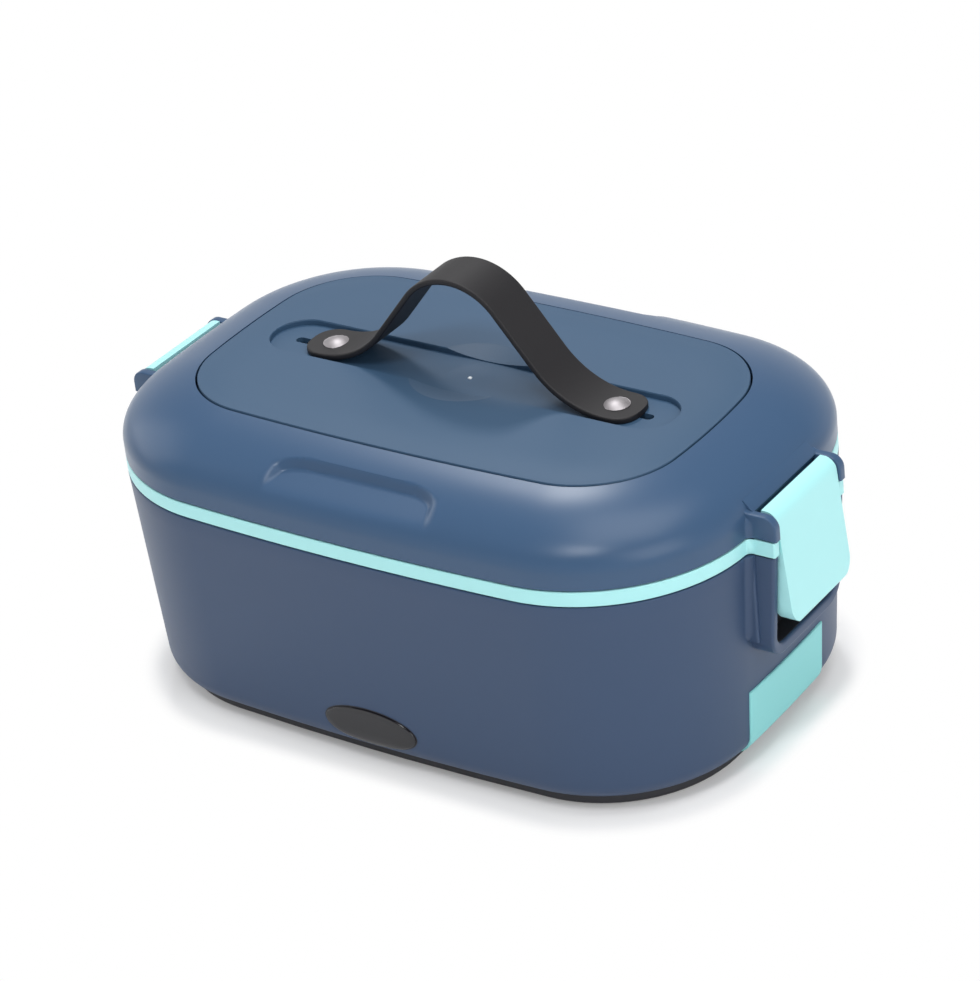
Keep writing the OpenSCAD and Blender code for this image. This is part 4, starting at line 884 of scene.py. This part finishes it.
def strap_line():
    """The strap's upper face from its crest to one end, and the way it faces: a circle over the crest, a
    straight slope that touches it, a circle at the foot and a flat end."""
    rise, run = math.sin(math.radians(SLOPE)), math.cos(math.radians(SLOPE))
    foot = (ARCH_HALF * rise - STRAP_RISE * run) / (1 - run) - CREST_R
    crest_t = np.radians(np.linspace(90, 90 - SLOPE, 26))
    crest_low = STRAP_TOP + STRAP_RISE - CREST_R
    crest = np.stack([CREST_R * np.cos(crest_t), crest_low + CREST_R * np.sin(crest_t)], 1)
    foot_t = np.radians(np.linspace(270 - SLOPE, 270, 26))
    low = np.stack([ARCH_HALF + foot * np.cos(foot_t), STRAP_TOP + foot + foot * np.sin(foot_t)], 1)
    straight = np.linspace(crest[-1], low[0], 14)[1:-1]
    end = np.stack([np.linspace(ARCH_HALF, STRAP_HALF, 24)[1:], np.full(23, STRAP_TOP)], 1)
    line = np.concatenate([crest, straight, low, end])
    slope_t = np.concatenate([crest_t, np.full(12, crest_t[-1]), foot_t - math.pi, np.full(23, math.pi / 2)])
    return line, np.stack([np.cos(slope_t), np.sin(slope_t)], 1)


def strap_half(side):
    """One half of the strap: its line carried across the width, with rounded edges and a rounded tip."""
    line, face = strap_line()
    edge, corner, across = 0.55, 7.5, 13
    t = np.radians(np.linspace(0, 90, 4))
    tip = STRAP_HALF - line[:, 0]
    rounding = corner - np.sqrt(np.clip(corner**2 - (corner - tip) ** 2, 0, None))
    half = STRAP_HALF_WIDTH - np.where(tip < corner, rounding, 0)
    side_y = half[:, None] - edge + edge * np.cos(t)
    middle_y = np.multiply.outer(half - edge, np.linspace(-0.95, 0.95, across))
    outer_y = np.concatenate([-side_y, middle_y, side_y[:, ::-1]], 1)
    depth = np.concatenate([edge * (1 - np.sin(t)), np.zeros(across), edge * (1 - np.sin(t))[::-1]])
    top = line[:, None] - depth[None, :, None] * face[:, None]
    bottom = line[:, None] - (STRAP_THICK - depth)[None, :, None] * face[:, None]
    loop = np.concatenate([top, bottom[:, ::-1]], 1)
    y = np.concatenate([outer_y, outer_y[:, ::-1]], 1)
    return capped(np.stack([STRAP_X + side * loop[..., 0], y, loop[..., 1]], 2))


# Bonded leather with a printed pebble grain and dyed edges: nearly black, warm, with a dull sheen.
strap_leather = finish_of("dyed bonded leather", "#100e13", 0.6, grain=0.25, grain_mm=0.9)
BEND_OUT, BEND_IN = 44, 4
for side, body in ((-1, "rivet_l"), (1, "rivet_r")):
    half = mesh_piece("carry_strap_" + body[-1], [strap_half(side)], 60)
    half.data.materials.append(strap_leather)
    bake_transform(half, body, "strap", start=((STRAP_X + side * BEND_OUT) * MM, 0, 0.109),
             end=((STRAP_X + side * BEND_IN) * MM, 0, 0.109))
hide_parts("carry_strap")

# ---- Rivets and washers ----
# Nickel-plated tubular rivets hold the strap's ends. Each passes through a slot and is set on a brass washer
# below the plate.

RIVET_R, RIVET_RISE, SHANK_R, CLENCH_R = 4.6, 1.3, 1.4, 2.4
# Satin nickel spreads each lamp into one broad soft spot. The brass below is a little brighter and warm.
nickel = finish_of("satin nickel", "#a9a5a8", 0.5, metallic=1.0)
brass = finish_of("brass", "#b0a070", 0.35, metallic=1.0)
ball = (RIVET_R**2 + RIVET_RISE**2) / (2 * RIVET_RISE)
dome = np.linspace(RIVET_R - 0.12, 0.02, 14)
head_low = STRAP_TOP + 0.1
dome_line = np.stack([dome, head_low + RIVET_RISE - ball + np.sqrt(ball**2 - dome**2)], 1)
head_under = [[0.02, head_low], [RIVET_R - 0.15, head_low], [RIVET_R, head_low + 0.1]]
head_line = np.concatenate([head_under, dome_line])
shank_line = [[0.02, PLATE_LOW - 2], [CLENCH_R, PLATE_LOW - 2], [CLENCH_R, PLATE_LOW - 1.1],
              [SHANK_R, PLATE_LOW - 1.1], [SHANK_R, head_low + 0.2], [0.02, head_low + 0.2]]
for side, name, body in ((-1, "rivet_left", "rivet_l"), (1, "rivet_right", "rivet_r")):
    at = (STRAP_X + side * RIVET_HALF, 0)
    rivet = mesh_piece(name + "_domed", [revolved(head_line, at), revolved(shank_line, at, 32)])
    dress(rivet, nickel, body, "rivet_steel", name)
    softened(name.replace("rivet", "rivet_washer"), 0, body, "washer_brass", brass)

# ---- Floor, light and camera ----
# The box stands on a white painted board under square soft boxes. The sizes here are in metres, but for the
# camera's.

FLOOR_REACH = 6.0
floor_mesh = bpy.data.meshes.new("white_sweep")
floor_corners = [(x * FLOOR_REACH, y * FLOOR_REACH, 0) for x, y in ((-1, -1), (1, -1), (1, 1), (-1, 1))]
floor_mesh.from_pydata(floor_corners, [], [(0, 1, 2, 3)])
sweep = placed("white_sweep", floor_mesh)
# Matt paint: the shadow shows near the object and fades to plain white by the distance past a rectangle
# inside the base.
FADE_RECTANGLE = (0.06, 0.023, 0)
FADE_START, FADE_END, FADE_LEAST = 0.053, 0.062, 0.2
board = finish_of("white painted board", "#fbfbfb", 0.9, Specular_IOR_Level=0.0)
tree = board.node_tree
where = add_node(tree, "TexCoord")
folded = add_node(tree, "VectorMath", {0: where.outputs["Object"]}, operation="ABSOLUTE")
past = add_node(tree, "VectorMath", {0: folded.outputs[0], 1: FADE_RECTANGLE}, operation="SUBTRACT")
outside = add_node(tree, "VectorMath", {0: past.outputs[0], 1: (0, 0, 0)}, operation="MAXIMUM")
away = add_node(tree, "VectorMath", {0: outside.outputs[0]}, operation="LENGTH")
fade_in = {"Value": away.outputs["Value"], "From Min": FADE_START, "From Max": FADE_END, "To Min": FADE_LEAST}
fade = add_node(tree, "MapRange", fade_in, interpolation_type="SMOOTHSTEP")
white = add_node(tree, "Emission", {"Color": linear("#ffffff"), "Strength": 1.0})
painted = tree.nodes["Principled BSDF"].outputs["BSDF"]
faded = add_node(tree, "MixShader", {0: fade.outputs[0], 1: painted, 2: white.outputs[0]})
seen = add_node(tree, "LightPath")
shown = add_node(tree, "MixShader", {0: seen.outputs["Is Camera Ray"], 1: painted, 2: faded.outputs[0]})
tree.links.new(shown.outputs[0], tree.nodes["Material Output"].inputs["Surface"])
floor_mesh.materials.append(board)

# Reflections see a white horizon that dims towards the ceiling, the rest gets a faint even fill, and the
# object stands before white.
FILL, HORIZON, CEILING = 0.35, 1.0, 0.15
DIM_START, DIM_END = 0.1, 0.55
world = bpy.data.worlds.new("studio")
bpy.context.scene.world = world
world.use_nodes = True
tree = world.node_tree
background = tree.nodes["Background"]
background.inputs["Color"].default_value = linear("#ffffff")
way = add_node(tree, "TexCoord")
heading = add_node(tree, "SeparateXYZ", {0: way.outputs["Object"]})
sky = add_node(tree, "MapRange", {"Value": heading.outputs["Z"], "From Min": DIM_START, "From Max": DIM_END,
                                  "To Min": HORIZON, "To Max": CEILING})
kind = add_node(tree, "LightPath")
bounced = add_node(tree, "Math", {0: kind.outputs["Is Glossy Ray"], 1: kind.outputs["Is Transmission Ray"]},
                   operation="MAXIMUM")
fill = add_node(tree, "Mix", {"Factor": bounced.outputs[0], "A": FILL, "B": sky.outputs[0]})
strength = add_node(tree, "Mix", {"Factor": kind.outputs["Is Camera Ray"], "A": fill.outputs[0], "B": 1.0})
tree.links.new(strength.outputs[0], background.inputs["Strength"])

# Each lamp has a place, a width and a power, and is turned to the middle of the box.
LAMP_AIM = Vector((0, 0, 0.05))
soft_boxes = (("overhead_soft_box", (0.25, 0.15, 1.5), 0.9, 9), ("back_soft_box", (-0.65, 0.8, 1.45), 0.3, 9),
              ("front_soft_box", (0.25, -0.7, 1.35), 0.35, 6), ("right_soft_box", (1.4, -0.5, 1.0), 0.9, 8),
              ("left_soft_box", (-1.5, -0.1, 0.8), 1.0, 5))
for name, place, size, power in soft_boxes:
    lamp = bpy.data.lights.new(name, "AREA")
    lamp.size = size
    lamp.energy = power
    soft_box = placed(name, lamp)
    soft_box.location = place
    soft_box.rotation_euler = (LAMP_AIM - Vector(place)).to_track_quat("-Z", "Y").to_euler()

# The camera looks at a point in the box from a distance, both in millimetres, and leans a little.
AZIMUTH, ELEVATION, ROLL = math.radians(36.24), math.radians(29.5), math.radians(-6.33)
DISTANCE, AIM = 1254.44, np.array([-12.85, 21.64, 50.0])
SENSOR, FRAME_HEIGHT, FOCAL_PIXELS = 36, 981, 3692.27
back = np.array([math.sin(AZIMUTH) * math.cos(ELEVATION), -math.cos(AZIMUTH) * math.cos(ELEVATION),
                 math.sin(ELEVATION)])
right = np.array([math.cos(AZIMUTH), math.sin(AZIMUTH), 0])
up = np.cross(back, right)
turned_right = math.cos(ROLL) * right + math.sin(ROLL) * up
turned_up = -math.sin(ROLL) * right + math.cos(ROLL) * up
camera_data = bpy.data.cameras.new("camera")
camera_data.lens = FOCAL_PIXELS * SENSOR / FRAME_HEIGHT
camera_data.sensor_width = SENSOR
camera_data.clip_start, camera_data.clip_end = 0.05, 50
camera = placed("camera", camera_data)
place = Matrix([[*v] for v in np.stack([turned_right, turned_up, back], 1)]).to_4x4()
place.translation = Vector((AIM + back * DISTANCE) * MM)
camera.matrix_world = place
bpy.context.scene.camera = camera
bpy.context.scene.view_settings.view_transform = "Standard"
